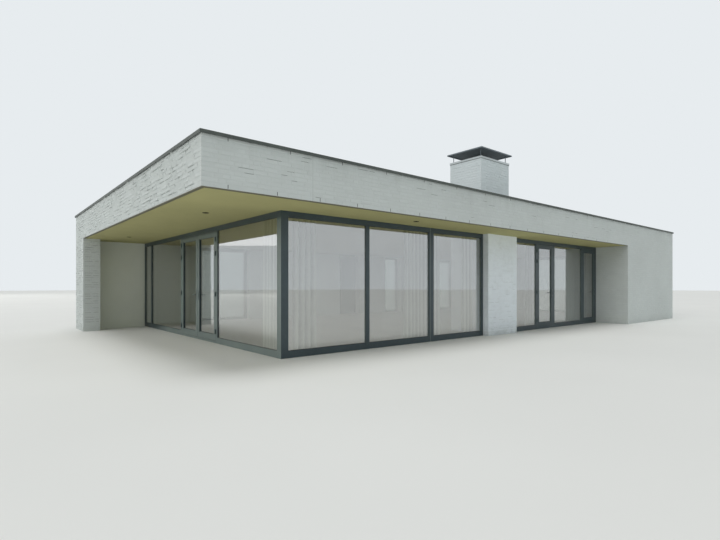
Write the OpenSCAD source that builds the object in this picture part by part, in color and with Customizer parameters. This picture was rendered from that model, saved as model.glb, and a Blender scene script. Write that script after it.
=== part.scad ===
// Single-storey beach house with a deep flat roof, an open corner porch, glass walls and a chimney.
// Units are millimetres. The origin lies on the ground at the centre of the roof outline,
// the long terrace front faces -Y, the porch side faces -X and +Z is up.

/* [House] */
// Length of the house over its brickwork, along X
house_length = 17950; // [17000:50:19000]
// Depth of the house over its brickwork, along Y
house_depth = 9600; // [9200:50:10400]
// Height of the soffit and of the ceiling above the ground
soffit_height = 2500; // [2400:10:2700]
// Height of the roof edge, from the soffit to the top of the coping
roof_edge_height = 730; // [600:10:900]
// Thickness of the outer walls
wall_thickness = 400; // [350:10:450]
// Thickness of the back wall, which also closes the porch
back_wall_thickness = 460; // [400:10:500]
// Thickness of the outer brick skin
brick_skin = 100; // [90:5:120]
// Height of the indoor floor above the ground
floor_height = 60; // [40:5:90]

/* [Overhangs] */
// Depth of the porch, from the side roof edge to the side glazing
porch_depth = 1725; // [1500:25:2000]
// Depth of the eave, from the front roof edge to the front glazing
eave_depth = 985; // [800:5:1200]
// Length of the wall that closes the far end of the porch side
return_wall_length = 1170; // [900:10:1400]
// Length of the solid brick front beside the terrace
front_block_length = 4240; // [4000:20:4400]

/* [Hearth and chimney] */
// Where the brick pier starts, as a share of the glazed front
pier_share = 0.4731; // [0.46:0.0001:0.485]
// Width of the brick pier
pier_width = 1250; // [1230:10:1300]
// How far the pier stands proud of the glazing
pier_proud = 155; // [100:5:200]
// Width of the chimney stack
stack_width = 1210; // [1100:10:1230]
// Depth of the chimney stack
stack_depth = 960; // [800:10:1100]
// Height of the chimney brickwork above the ground
stack_top = 4450; // [4200:10:4800]
// Clear height between the chimney crown and its cap
cap_gap = 205; // [120:5:240]
// How far the cap reaches past the stack on each side
cap_overhang = 60; // [30:5:100]
// Bore of the flue
flue_bore = 250; // [150:10:300]

/* [Glazing] */
// Width of a frame bar seen from outside
bar_width = 70; // [60:2:80]
// Height of the head bar
head_height = 90; // [70:5:110]
// Height of the sill bar under a fixed pane
sill_height = 110; // [90:5:130]
// Height of the threshold under a door
threshold_height = 45; // [35:5:50]
// Depth of a frame from its outer to its inner face
frame_depth = 90; // [80:5:100]
// Thickness of a sealed glass unit
glass_thickness = 28; // [24:2:32]
// Width of the square post at the glass corner
corner_post_width = 90; // [80:5:100]
// First front mullion, as a share of the lounge front
front_mullion_share = 0.3386; // [0.3:0.0001:0.36]
// Joint between the two window elements of the lounge front, as a share of that front
element_joint_share = 0.6594; // [0.65:0.0001:0.68]
// Width of the first bar of the window element beside the pier
coupling_bar = 95; // [70:5:110]
// Start of the garden doors, as a share of the side glazing
garden_door_share = 0.3362; // [0.31:0.0001:0.36]
// Last side mullion, as a share of the side glazing
side_mullion_share = 0.9142; // [0.89:0.0001:0.93]
// Start of the first bedroom door, as a share of the bedroom bay
bedroom_door_share = 0.2577; // [0.23:0.0001:0.29]

/* [Doors] */
// Width of one leaf of the garden doors
garden_leaf_width = 1052; // [950:2:1100]
// Width of a bedroom door leaf
bedroom_leaf_width = 900; // [850:5:910]
// Width of the stiles of a hinged leaf
stile_width = 105; // [90:5:115]
// Height of the bottom rail of a hinged leaf
bottom_rail = 120; // [100:5:160]
// Depth of a hinged leaf
leaf_depth = 70; // [60:2:80]
// Gap between a leaf and the frame round it
leaf_gap = 5; // [5:0.5:7]
// Height of the lowest hinge above the ground
lowest_hinge = 250; // [200:10:300]

/* [Roof] */
// Thickness of the roof deck
deck_thickness = 320; // [280:10:360]
// Thickness of the soffit and ceiling boards
board = 20; // [15:1:25]
// Thickness of the roofing sheet
membrane = 8; // [5:1:12]
// Thickness of the upstand behind the brick skin
upstand = 150; // [120:5:180]
// Depth of the coping's outer lip
coping_lip = 50; // [40:1:60]
// How far the coping stands off the brickwork
coping_out = 30; // [20:1:35]

/* [Curtains] */
// Distance of the curtain line behind the glazing
curtain_set = 300; // [280:5:340]
// Depth that the gathered folds take up
curtain_fold = 110; // [80:5:120]
// Width of the gathered curtains beside the glass corner
corner_curtain = 510; // [450:10:600]
// Width of the gathered curtain behind the joint of the window elements
middle_curtain = 1150; // [1050:10:1250]
// Width of the gathered curtains at the bedroom doors
bedroom_curtain = 480; // [420:10:520]
// Height of the door handles above the ground
handle_height = 1020; // [950:10:1100]

/* [Hidden] */
$fn = 40;
eps = 0.3;
x_left = -house_length / 2;
x_right = house_length / 2;
y_front = -house_depth / 2;
y_back = house_depth / 2;
x_glass = x_left + porch_depth;
y_glass = y_front + eave_depth;
y_end = y_back - back_wall_thickness;
x_reveal = x_right - front_block_length;
front_run = x_reveal - x_glass;
pier_start = round(front_run * pier_share);
x_pier = x_glass + pier_start;
y_pier = y_glass - pier_proud;
x_bay = x_pier + pier_width;
bay_run = x_reveal - x_bay;
side_run = y_end - y_glass;
front_mullion = round(pier_start * front_mullion_share);
element_joint = round(pier_start * element_joint_share);
element_gap = 6;
garden_door_start = round(side_run * garden_door_share);
side_mullion = round(side_run * side_mullion_share);
garden_opening = 2 * garden_leaf_width + 3 * leaf_gap + 2;
bedroom_opening = bedroom_leaf_width + 2 * leaf_gap;
bedroom_door_a_start = pier_start + pier_width + round(bay_run * bedroom_door_share);
bedroom_door_b_start = front_run - bar_width - leaf_gap - bedroom_opening;
coping_top = soffit_height + roof_edge_height;
coping_sheet = 4;
wall_top = coping_top - coping_sheet;
deck_bottom = soffit_height + board;
deck_top = deck_bottom + deck_thickness;
lintel = 10;
lintel_edge = brick_skin + 10;
return_start = y_back - return_wall_length;
head_bottom = soffit_height - head_height;
leaf_bottom = threshold_height + leaf_gap + 1;
leaf_top = head_bottom - leaf_gap - 1;
leaf_height = leaf_top - leaf_bottom;
glass_back = 17;
bead = 14;
reveal_depth = 165;
hinge_offset = 16;
barrel = 10;
pin = 5;
knuckle = 34;
hinge_heights = [lowest_hinge, round(head_bottom * 0.436), head_bottom - 490, head_bottom - 190];
y_stack = y_glass + 55;
crown = 45;
flue_wall = 20;
flue_rise = 70;
cap_sheet = 6;
cap_lip = 24;
rail_height = 20;
rear_reveal = 110;
wide_window = 1700;
narrow_window = 1000;
entrance_width = 1020;
rear_windows = [[-round(0.2563 * house_length), wide_window],
    [round(0.1783 * house_length), narrow_window], [round(0.3733 * house_length), wide_window]];
entrance_x = round(0.039 * house_length);
end_window = [0, wide_window];
downlight_radius = 47;
downlight_rim = 9;
downlight_spots = [[x_left + round(porch_depth / 2), y_glass + round(side_run * 0.1337)],
    [x_left + round(porch_depth / 2), y_glass + round(side_run * 0.775)],
    [x_glass + round(pier_start * 0.4868), y_front + round(eave_depth / 2)]];
curtain_bottom = floor_height + 15;
curtain_top = soffit_height - rail_height - eps;
curtain_start = curtain_set + curtain_fold / 2 + 35;

// Box between two corners
module block(low, high) {
    translate(low)
        cube([high[0] - low[0], high[1] - low[1], high[2] - low[2]]);
}

// Lays an elevation drawing on a wall that faces -Y, with its outer face at y and a thickness
module on_front(x, y, thick) {
    translate([x, y + thick, 0])
        rotate([90, 0, 0])
            linear_extrude(thick)
                children();
}

// Lays an elevation drawing on a wall that faces -X, drawn away from the front
module on_side(x, y, thick) {
    translate([x, y, 0])
        rotate([90, 0, 90])
            linear_extrude(thick)
                children();
}

// Plan of the stack, which passes through ceiling, deck and membrane
module stack_plan(grow) {
    translate([x_pier - grow, y_stack - grow])
        square([stack_width + 2 * grow, stack_depth + 2 * grow]);
}

// Plan of the rooms between the inner faces of glazing and walls
module room_plan() {
    inner_right = x_right - wall_thickness;
    inner_front = y_front + wall_thickness;
    inner_left = x_glass + frame_depth;
    behind_reveal = x_reveal + wall_thickness;
    polygon([[inner_left, y_glass + frame_depth], [x_reveal, y_glass + frame_depth],
        [x_reveal, y_glass + reveal_depth], [behind_reveal, y_glass + reveal_depth],
        [behind_reveal, inner_front], [inner_right, inner_front], [inner_right, y_end],
        [inner_left, y_end]]);
}

// Elevation of a glazed frame: a plate with one light for each pair in cells
module frame_face(length, cells, low, inset) {
    difference() {
        square([length, soffit_height]);
        for (c = cells)
            translate([c[0] + inset, low + inset])
                square([c[1] - c[0] - 2 * inset, head_bottom - low - 2 * inset]);
    }
}

// Bead rings that hold the glass in each light
module bead_face(cells, low) {
    for (c = cells)
        translate([c[0], low])
            difference() {
                square([c[1] - c[0], head_bottom - low]);
                translate([bead, bead])
                    square([c[1] - c[0] - 2 * bead, head_bottom - low - 2 * bead]);
            }
}

// Panes that fill the lights, held between the beads
module pane_face(cells, low) {
    for (c = cells)
        translate([c[0] + 1, low + 1])
            square([c[1] - c[0] - 2, head_bottom - low - 2]);
}

// Fixed frame with lights and beads either side of the glass, facing -Y
module front_frame(x, y, length, cells, low) {
    on_front(x, y, frame_depth)
        frame_face(length, cells, low, 0);
    on_front(x, y + glass_back - bead, bead)
        bead_face(cells, low);
    on_front(x, y + glass_back + glass_thickness, bead)
        bead_face(cells, low);
}

module side_frame(x, y, length, cells, low) {
    on_side(x, y, frame_depth)
        frame_face(length, cells, low, 0);
    on_side(x + glass_back - bead, y, bead)
        bead_face(cells, low);
    on_side(x + glass_back + glass_thickness, y, bead)
        bead_face(cells, low);
}

// Lever handle on one face of a leaf, pointing to the hinge side
module lever(u, z) {
    translate([u - 16, -6, z - 110])
        cube([32, 6.5, 220]);
    translate([u, -42, z])
        rotate([-90, 0, 0])
            cylinder(h = 40, r = 9);
    translate([u - 118, -50, z - 9])
        cube([128, 14, 18]);
}

// Hinged leaf seen from outside: hinge axis at the origin, leaf along +X, outer face at +Y
module hinged_leaf(width) {
    low = bottom_rail;
    high = leaf_height - stile_width;
    inner = width - stile_width;
    translate([leaf_gap / 2, hinge_offset, leaf_bottom]) {
        difference() {
            translate([0, leaf_depth, 0])
                rotate([90, 0, 0])
                    linear_extrude(leaf_depth)
                        difference() {
                            square([width, leaf_height]);
                            translate([stile_width, low])
                                square([inner - stile_width, high - low]);
                        }
            translate([0, 0, -1])
                linear_extrude(leaf_height + 2)
                    polygon([[width + 1, -1], [width, 0], [width - 5, leaf_depth],
                        [width - 5, leaf_depth + 1], [width + 1, leaf_depth + 1]]);
        }
        for (y = [12, 12 + bead + glass_thickness])
            translate([0, y + bead, 0])
                rotate([90, 0, 0])
                    linear_extrude(bead)
                        difference() {
                            translate([stile_width - 1, low - 1])
                                square([inner - stile_width + 2, high - low + 2]);
                            translate([stile_width + bead, low + bead])
                                square([inner - stile_width - 2 * bead, high - low - 2 * bead]);
                        }
        lever(width - stile_width / 2, handle_height - leaf_bottom);
        translate([0, leaf_depth, 0])
            mirror([0, 1, 0])
                lever(width - stile_width / 2, handle_height - leaf_bottom);
    }
    for (z = hinge_heights) {
        translate([0, 0, z - knuckle / 2])
            cylinder(h = knuckle, r = barrel);
        translate([0, 0, z - 1.4 * knuckle])
            cylinder(h = 2.8 * knuckle, r = pin);
        block([leaf_gap / 2, 0, z - knuckle / 2], [barrel, hinge_offset, z + knuckle / 2]);
        block([leaf_gap / 2, hinge_offset - 4, z - knuckle / 2], [knuckle, hinge_offset, z + knuckle / 2]);
    }
}

module hinged_glass(width) {
    translate([leaf_gap / 2 + stile_width + 1, hinge_offset + 12 + bead, leaf_bottom + bottom_rail + 1])
        cube([width - 2 * stile_width - 2, glass_thickness, leaf_height - bottom_rail - stile_width - 2]);
}

// The two knuckles of each hinge that stay on the frame
module frame_knuckles() {
    tall = knuckle - 1;
    for (z = hinge_heights, side = [-1, 1])
        translate([0, 0, z + side * knuckle - tall / 2])
            difference() {
                union() {
                    cylinder(h = tall, r = barrel);
                    block([-barrel, 0, 0], [-leaf_gap / 2, hinge_offset, tall]);
                    block([-knuckle, hinge_offset - 4, 0], [-leaf_gap / 2, hinge_offset, tall]);
                }
                translate([0, 0, -1])
                    cylinder(h = tall + 2, r = pin + eps);
            }
}

// Places what is drawn about a hinge axis at each door
module at_near_garden() {
    translate([x_glass - hinge_offset, y_glass + garden_door_start + leaf_gap / 2, 0])
        rotate([0, 0, -90])
            mirror([1, 0, 0])
                children();
}

module at_far_garden() {
    translate([x_glass - hinge_offset, y_glass + garden_door_start + garden_opening - leaf_gap / 2, 0])
        rotate([0, 0, -90])
            children();
}

module at_bedroom(start) {
    translate([x_glass + start + leaf_gap / 2, y_glass - hinge_offset, 0])
        children();
}

module floor_slab() {
    color("#b9b2a4")
        difference() {
            linear_extrude(floor_height)
                union() {
                    room_plan();
                    for (w = concat(rear_windows, [[entrance_x, entrance_width]]))
                        translate([w[0] - w[1] / 2, y_end - 1])
                            square([w[1], back_wall_thickness - rear_reveal - frame_depth + 1]);
                    translate([x_right - wall_thickness - 1, end_window[0] - end_window[1] / 2])
                        square([wall_thickness - rear_reveal - frame_depth + 1, end_window[1]]);
                }
            block([x_pier, y_pier, -1], [x_bay, y_stack + stack_depth, floor_height + 1]);
        }
}

module back_wall() {
    color("#d8d8d0") {
        on_front(x_left, y_end, back_wall_thickness)
            difference() {
                square([house_length, deck_bottom]);
                for (w = rear_windows)
                    translate([w[0] - w[1] / 2 - x_left, 0])
                        square([w[1], soffit_height]);
                translate([entrance_x - entrance_width / 2 - x_left, 0])
                    square([entrance_width, soffit_height]);
            }
        block([x_left, y_back - brick_skin, deck_bottom - 1], [x_right, y_back, wall_top]);
    }
}

module right_end_wall() {
    color("#d8d8d0") {
        on_side(x_right - wall_thickness, y_front + wall_thickness, wall_thickness)
            difference() {
                square([y_end - y_front - wall_thickness, deck_bottom]);
                translate([end_window[0] - end_window[1] / 2 - y_front - wall_thickness, 0])
                    square([end_window[1], soffit_height]);
            }
        block([x_right - brick_skin, y_front + brick_skin, deck_bottom],
            [x_right, y_back - brick_skin, wall_top]);
    }
}

module front_block_wall() {
    color("#e2e2da")
        translate([x_reveal, 0, 0])
            rotate([90, 0, 90])
                linear_extrude(front_block_length)
                    polygon([[y_front, 0], [y_front + wall_thickness, 0],
                        [y_front + wall_thickness, deck_bottom], [y_front + brick_skin, deck_bottom],
                        [y_front + brick_skin, wall_top], [y_front, wall_top]]);
}

module reveal_wall() {
    color("#d8d8d0")
        block([x_reveal, y_front + wall_thickness, 0],
            [x_reveal + wall_thickness, y_glass + reveal_depth, deck_bottom]);
}

module return_wall() {
    color("#d4d4cc") {
        block([x_left, return_start, 0], [x_left + wall_thickness, y_end, deck_bottom]);
        block([x_left, return_start, deck_bottom], [x_left + brick_skin, y_back - brick_skin, wall_top]);
    }
}

module hearth_pier() {
    color("#dededa")
        block([x_pier, y_pier, 0], [x_bay, y_stack + stack_depth, soffit_height]);
}

module front_fascia() {
    color("#e2e2da")
        block([x_left, y_front, soffit_height + lintel], [x_reveal, y_front + brick_skin, wall_top]);
}

module left_fascia() {
    color("#cfcfc8")
        block([x_left, y_front + brick_skin, soffit_height + lintel],
            [x_left + brick_skin, return_start, wall_top]);
}

// Steel angle that carries the brick skin over the open porch and eave
module fascia_lintels() {
    color("#3a3d3c")
        translate([0, 0, soffit_height]) {
            linear_extrude(lintel) {
                translate([x_left, y_front])
                    square([x_reveal - x_left, lintel_edge]);
                translate([x_left, y_front])
                    square([lintel_edge, return_start - y_front]);
            }
            linear_extrude(board) {
                translate([x_left + brick_skin, y_front + brick_skin])
                    square([x_reveal - x_left - brick_skin, lintel_edge - brick_skin]);
                translate([x_left + brick_skin, y_front + brick_skin])
                    square([lintel_edge - brick_skin, return_start - y_front - brick_skin]);
            }
        }
}

module soffit() {
    edge = lintel_edge;
    color("#b3ab96")
        translate([0, 0, soffit_height])
            difference() {
                linear_extrude(board)
                    difference() {
                        union() {
                            translate([x_left + edge, y_front + edge])
                                square([x_reveal - x_left - edge, y_glass + frame_depth - y_front - edge]);
                            translate([x_left + edge, y_front + edge])
                                square([porch_depth + frame_depth - edge, y_end - y_front - edge]);
                        }
                        translate([x_left, return_start])
                            square([wall_thickness, house_depth]);
                        stack_plan(0);
                    }
                for (p = downlight_spots)
                    translate([p[0], p[1], -1])
                        cylinder(h = board + 2, r = downlight_radius);
            }
}

module ceiling() {
    color("#e8e6df")
        translate([0, 0, soffit_height])
            linear_extrude(board)
                difference() {
                    room_plan();
                    stack_plan(0);
                }
}

module roof_deck() {
    color("#9c9a94")
        translate([0, 0, deck_bottom])
            linear_extrude(deck_top - deck_bottom)
                difference() {
                    translate([x_left + brick_skin, y_front + brick_skin])
                        square([house_length - 2 * brick_skin, house_depth - 2 * brick_skin]);
                    stack_plan(0);
                }
}

// Roofing sheet and the four upstands behind the brick skin, which it is dressed over
module roof_membrane() {
    inset = brick_skin + upstand;
    color("#4a4c4e") {
        translate([0, 0, deck_top])
            linear_extrude(membrane)
                difference() {
                    translate([x_left + inset + eps, y_front + inset + eps])
                        square([house_length - 2 * inset - 2 * eps, house_depth - 2 * inset - 2 * eps]);
                    stack_plan(0);
                }
        for (y = [y_front + brick_skin, y_back - inset])
            block([x_left + brick_skin, y, deck_top], [x_right - brick_skin, y + upstand, wall_top]);
        for (x = [x_left + brick_skin, x_right - inset])
            block([x, y_front + inset + eps, deck_top], [x + upstand, y_back - inset - eps, wall_top]);
    }
}

// Folded metal coping over the parapet, in four mitred lengths
module coping() {
    width = brick_skin + upstand + coping_out + 20;
    color("#33383b")
        for (turn = [0, 1, 2, 3]) {
            long = (turn % 2 == 0 ? house_length : house_depth) / 2 + coping_out;
            deep = (turn % 2 == 0 ? house_depth : house_length) / 2 + coping_out;
            intersection() {
                rotate([0, 0, turn * 90])
                    translate([-long, 0, 0])
                        rotate([90, 0, 90])
                            linear_extrude(2 * long)
                                coping_profile(deep, width);
                linear_extrude(coping_top + 1)
                    rotate([0, 0, turn * 90])
                        polygon([[-long + 2, -deep], [long - 2, -deep], [long - 2 - width, -deep + width],
                            [-long + 2 + width, -deep + width]]);
            }
        }
}

module coping_profile(deep, width) {
    translate([-deep, coping_top - coping_lip])
        polygon([[0, 0], [coping_sheet, 0], [coping_sheet, coping_lip - coping_sheet],
            [width - coping_sheet, coping_lip - coping_sheet], [width - coping_sheet, 10], [width, 10],
            [width, coping_lip], [0, coping_lip]]);
}

module corner_post() {
    color("#2c3238")
        block([x_glass, y_glass, 0],
            [x_glass + corner_post_width, y_glass + corner_post_width, soffit_height]);
}

post_bar = 40;
corner_run = element_joint - element_gap / 2 - corner_post_width;
corner_cells = [[post_bar, front_mullion - bar_width / 2 - corner_post_width],
    [front_mullion + bar_width / 2 - corner_post_width, corner_run - post_bar]];
pier_element_start = element_joint + element_gap / 2;
pier_run = pier_start - pier_element_start;
pier_cells = [[coupling_bar, pier_run - bar_width]];
bay_first = bedroom_door_a_start - pier_start - pier_width;
bay_second_start = bedroom_door_a_start + bedroom_opening;
bay_second = bedroom_door_b_start - bay_second_start;
bay_last_start = bedroom_door_b_start + bedroom_opening;

module front_window_frames() {
    color("#2c3238") {
        front_frame(x_glass + corner_post_width, y_glass, corner_run, corner_cells, sill_height);
        front_frame(x_glass + pier_element_start, y_glass, pier_run, pier_cells, sill_height);
        front_frame(x_bay, y_glass, bay_first, [[bar_width, bay_first - bar_width]], sill_height);
        front_frame(x_glass + bay_second_start, y_glass, bay_second, [[bar_width, bay_second - bar_width]],
            sill_height);
        block([x_glass + bay_last_start, y_glass, 0], [x_reveal, y_glass + frame_depth, soffit_height]);
        for (start = [bedroom_door_a_start, bedroom_door_b_start])
            at_bedroom(start)
                frame_knuckles();
    }
}

module front_glass() {
    color("#9fb4b8", 0.4) {
        on_front(x_glass + corner_post_width, y_glass + glass_back, glass_thickness)
            pane_face(corner_cells, sill_height);
        on_front(x_glass + pier_element_start, y_glass + glass_back, glass_thickness)
            pane_face(pier_cells, sill_height);
        on_front(x_bay, y_glass + glass_back, glass_thickness)
            pane_face([[bar_width, bay_first - bar_width]], sill_height);
        on_front(x_glass + bay_second_start, y_glass + glass_back, glass_thickness)
            pane_face([[bar_width, bay_second - bar_width]], sill_height);
    }
}

side_near_cells = [[post_bar, garden_door_start - bar_width - corner_post_width]];
side_far_start = garden_door_start + garden_opening;
side_far_cells = [[bar_width, side_mullion - bar_width / 2 - side_far_start],
    [side_mullion + bar_width / 2 - side_far_start, side_run - side_far_start - bar_width]];

module side_window_frames() {
    color("#2c3238") {
        side_frame(x_glass, y_glass + corner_post_width, garden_door_start - corner_post_width,
            side_near_cells, sill_height);
        side_frame(x_glass, y_glass + side_far_start, side_run - side_far_start, side_far_cells,
            sill_height);
        at_near_garden()
            frame_knuckles();
        at_far_garden()
            frame_knuckles();
    }
}

module side_glass() {
    color("#9fb4b8", 0.4) {
        on_side(x_glass + glass_back, y_glass + corner_post_width, glass_thickness)
            pane_face(side_near_cells, sill_height);
        on_side(x_glass + glass_back, y_glass + side_far_start, glass_thickness)
            pane_face(side_far_cells, sill_height);
    }
}

// Heads and thresholds of the hinged doors
module door_surrounds() {
    color("#2c3238") {
        for (z = [[0, threshold_height], [head_bottom, soffit_height]]) {
            block([x_glass, y_glass + garden_door_start, z[0]],
                [x_glass + frame_depth, y_glass + garden_door_start + garden_opening, z[1]]);
            for (start = [bedroom_door_a_start, bedroom_door_b_start])
                block([x_glass + start, y_glass, z[0]],
                    [x_glass + start + bedroom_opening, y_glass + frame_depth, z[1]]);
        }
    }
}

module near_garden_door() {
    color("#2c3238")
        at_near_garden()
            hinged_leaf(garden_leaf_width);
}

module near_garden_glass() {
    color("#9fb4b8", 0.4)
        at_near_garden()
            hinged_glass(garden_leaf_width);
}

module far_garden_door() {
    color("#2c3238")
        at_far_garden()
            hinged_leaf(garden_leaf_width);
}

module far_garden_glass() {
    color("#9fb4b8", 0.4)
        at_far_garden()
            hinged_glass(garden_leaf_width);
}

module bedroom_door_a() {
    color("#2c3238")
        at_bedroom(bedroom_door_a_start)
            hinged_leaf(bedroom_leaf_width);
}

module bedroom_glass_a() {
    color("#9fb4b8", 0.4)
        at_bedroom(bedroom_door_a_start)
            hinged_glass(bedroom_leaf_width);
}

module bedroom_door_b() {
    color("#2c3238")
        at_bedroom(bedroom_door_b_start)
            hinged_leaf(bedroom_leaf_width);
}

module bedroom_glass_b() {
    color("#9fb4b8", 0.4)
        at_bedroom(bedroom_door_b_start)
            hinged_glass(bedroom_leaf_width);
}

module chimney_stack() {
    color("#dededa")
        translate([0, 0, soffit_height])
            linear_extrude(stack_top - crown - soffit_height)
                difference() {
                    stack_plan(0);
                    stack_plan(-brick_skin);
                }
}

module flue_plan(grow) {
    translate([x_pier + stack_width / 2, y_stack + stack_depth / 2])
        square(flue_bore + 2 * grow, center = true);
}

module chimney_crown() {
    color("#e6e6e0")
        translate([0, 0, stack_top - crown])
            linear_extrude(crown)
                difference() {
                    stack_plan(12);
                    flue_plan(flue_wall + eps);
                }
}

module flue_liner() {
    color("#8e9496")
        translate([0, 0, soffit_height])
            linear_extrude(stack_top + flue_rise - soffit_height)
                difference() {
                    flue_plan(flue_wall);
                    flue_plan(0);
                }
}

// Four slim legs on foot plates
module cap_legs() {
    inset = 60;
    color("#2d3032")
        for (x = [inset, stack_width - inset], y = [inset, stack_depth - inset])
            translate([x_pier + x, y_stack + y, stack_top]) {
                cylinder(h = cap_gap, r = 9);
                cylinder(h = 6, r = 28);
            }
}

// Flat cap plate with a turned-down lip
module chimney_cap() {
    low = stack_top + cap_gap;
    color("#2d3032") {
        translate([0, 0, low])
            linear_extrude(cap_sheet)
                stack_plan(cap_overhang);
        translate([0, 0, low - cap_lip])
            linear_extrude(cap_lip + 1)
                difference() {
                    stack_plan(cap_overhang);
                    stack_plan(cap_overhang - cap_sheet);
                }
    }
}

// Recessed lamps: a rim under the soffit and a can in its hole
module downlights() {
    inner = downlight_radius - downlight_rim - 4;
    outer = downlight_radius + downlight_rim;
    can = downlight_radius - 1;
    color("#1c1d1e")
        for (p = downlight_spots)
            translate([p[0], p[1], soffit_height - 4])
                rotate_extrude()
                    polygon([[inner, 0], [outer, 0], [outer, 4], [can, 4], [can, board + 4], [0, board + 4],
                        [0, board], [inner, board]]);
}

module curtain_rails() {
    line = curtain_set;
    half = 12;
    low = soffit_height - rail_height;
    color("#d8d8d4") {
        block([x_glass + curtain_start, y_glass + line - half, low],
            [x_pier - 40, y_glass + line + half, soffit_height]);
        block([x_bay + 40, y_glass + line - half, low],
            [x_reveal - 60, y_glass + line + half, soffit_height]);
        block([x_glass + line - half, y_glass + curtain_start, low],
            [x_glass + line + half, y_end - 60, soffit_height]);
    }
}

// A gathered curtain along the front as a plain upright slab
module curtain_front(start, width) {
    block([x_glass + start, y_glass + curtain_set - curtain_fold / 2, curtain_bottom],
        [x_glass + start + width, y_glass + curtain_set + curtain_fold / 2, curtain_top]);
}

module lounge_curtains() {
    color("#d9d8cc") {
        curtain_front(curtain_start, corner_curtain);
        curtain_front(element_joint - 0.47 * middle_curtain, middle_curtain);
        curtain_front(pier_start - bar_width - 0.8 * corner_curtain, 0.8 * corner_curtain);
        block([x_glass + curtain_set - curtain_fold / 2, y_glass + curtain_start, curtain_bottom],
            [x_glass + curtain_set + curtain_fold / 2, y_glass + curtain_start + 1.4 * corner_curtain,
                curtain_top]);
    }
}

module bedroom_curtains() {
    color("#c9cbc8") {
        curtain_front(bedroom_door_a_start - 0.3 * bedroom_curtain, bedroom_curtain);
        curtain_front(bedroom_door_b_start - 1.08 * bedroom_curtain, 2.87 * bedroom_curtain);
    }
}

module rear_window_frames() {
    color("#2c3238") {
        for (w = rear_windows)
            translate([w[0] + w[1] / 2, y_back - rear_reveal, 0])
                rotate([0, 0, 180])
                    front_frame(0, 0, w[1], [[bar_width, w[1] - bar_width]], sill_height);
        translate([x_right - rear_reveal, end_window[0] - end_window[1] / 2, 0])
            rotate([0, 0, 90])
                front_frame(0, 0, end_window[1], [[bar_width, end_window[1] - bar_width]], sill_height);
    }
}

module rear_glass() {
    color("#9fb4b8", 0.4) {
        for (w = rear_windows)
            translate([w[0] + w[1] / 2, y_back - rear_reveal, 0])
                rotate([0, 0, 180])
                    on_front(0, glass_back, glass_thickness)
                        pane_face([[bar_width, w[1] - bar_width]], sill_height);
        translate([x_right - rear_reveal, end_window[0] - end_window[1] / 2, 0])
            rotate([0, 0, 90])
                on_front(0, glass_back, glass_thickness)
                    pane_face([[bar_width, end_window[1] - bar_width]], sill_height);
    }
}

module entrance_door() {
    color("#2c3238")
        translate([entrance_x + entrance_width / 2, y_back - rear_reveal, 0])
            rotate([0, 0, 180]) {
                on_front(0, 0, frame_depth)
                    difference() {
                        square([entrance_width, soffit_height]);
                        translate([55, 30])
                            square([entrance_width - 110, soffit_height - 85]);
                    }
                on_front(0, 12, 66)
                    translate([54, 29])
                        square([entrance_width - 108, soffit_height - 83]);
                translate([entrance_width - 140, -38, handle_height - 320])
                    cylinder(h = 900, r = 14);
                for (z = [handle_height - 260, handle_height + 520])
                    translate([entrance_width - 140, -38, z])
                        rotate([-90, 0, 0])
                            cylinder(h = 51, r = 9);
            }
}

floor_slab();
back_wall();
right_end_wall();
front_block_wall();
reveal_wall();
return_wall();
hearth_pier();
front_fascia();
left_fascia();
fascia_lintels();
soffit();
ceiling();
roof_deck();
roof_membrane();
coping();
corner_post();
front_window_frames();
front_glass();
side_window_frames();
side_glass();
door_surrounds();
near_garden_door();
near_garden_glass();
far_garden_door();
far_garden_glass();
bedroom_door_a();
bedroom_glass_a();
bedroom_door_b();
bedroom_glass_b();
chimney_stack();
chimney_crown();
flue_liner();
cap_legs();
chimney_cap();
downlights();
curtain_rails();
lounge_curtains();
bedroom_curtains();
rear_window_frames();
rear_glass();
entrance_door();
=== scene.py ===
"""Looks of a single-storey beach house of painted brick: relief bricks, metal frames, glass, roof,
chimney, soffit, curtains and a plain studio round the packed model. Lengths are in metres."""

import math
import random

import bpy
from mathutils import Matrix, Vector


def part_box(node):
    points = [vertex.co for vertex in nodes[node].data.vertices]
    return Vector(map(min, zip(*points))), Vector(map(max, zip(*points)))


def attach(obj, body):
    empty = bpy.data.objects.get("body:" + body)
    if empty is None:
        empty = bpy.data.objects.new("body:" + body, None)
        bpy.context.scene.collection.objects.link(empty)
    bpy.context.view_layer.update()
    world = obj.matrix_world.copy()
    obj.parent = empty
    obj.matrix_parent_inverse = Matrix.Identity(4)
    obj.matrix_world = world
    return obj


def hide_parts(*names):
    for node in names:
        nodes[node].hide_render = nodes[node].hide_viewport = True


bl_info = {
    "name": "Beach house finishes",
    "version": (1, 0, 0),
    "blender": (4, 5, 0),
    "location": "3D View > Sidebar > Beach house",
    "description": "Brickwork, frames, glass, roof, curtains and studio for the beach house",
    "category": "Object",
}

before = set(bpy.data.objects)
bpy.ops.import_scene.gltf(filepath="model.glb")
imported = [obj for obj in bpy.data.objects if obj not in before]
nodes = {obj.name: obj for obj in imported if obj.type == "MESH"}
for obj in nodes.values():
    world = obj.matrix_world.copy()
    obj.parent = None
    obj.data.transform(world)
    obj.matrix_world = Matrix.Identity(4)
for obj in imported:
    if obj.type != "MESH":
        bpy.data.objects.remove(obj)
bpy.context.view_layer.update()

x_left, y_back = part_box("back_wall")[0].x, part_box("back_wall")[1].y
x_right, y_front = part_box("back_wall")[1].x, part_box("front_fascia")[0].y
x_glass, y_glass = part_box("corner_post")[0].x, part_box("corner_post")[0].y
wall_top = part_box("front_fascia")[1].z
fascia_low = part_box("front_fascia")[0].z
soffit_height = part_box("soffit")[0].z
x_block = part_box("front_block_wall")[0].x
y_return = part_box("return_wall")[0].y
return_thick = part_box("return_wall")[1].x - x_left
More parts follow.
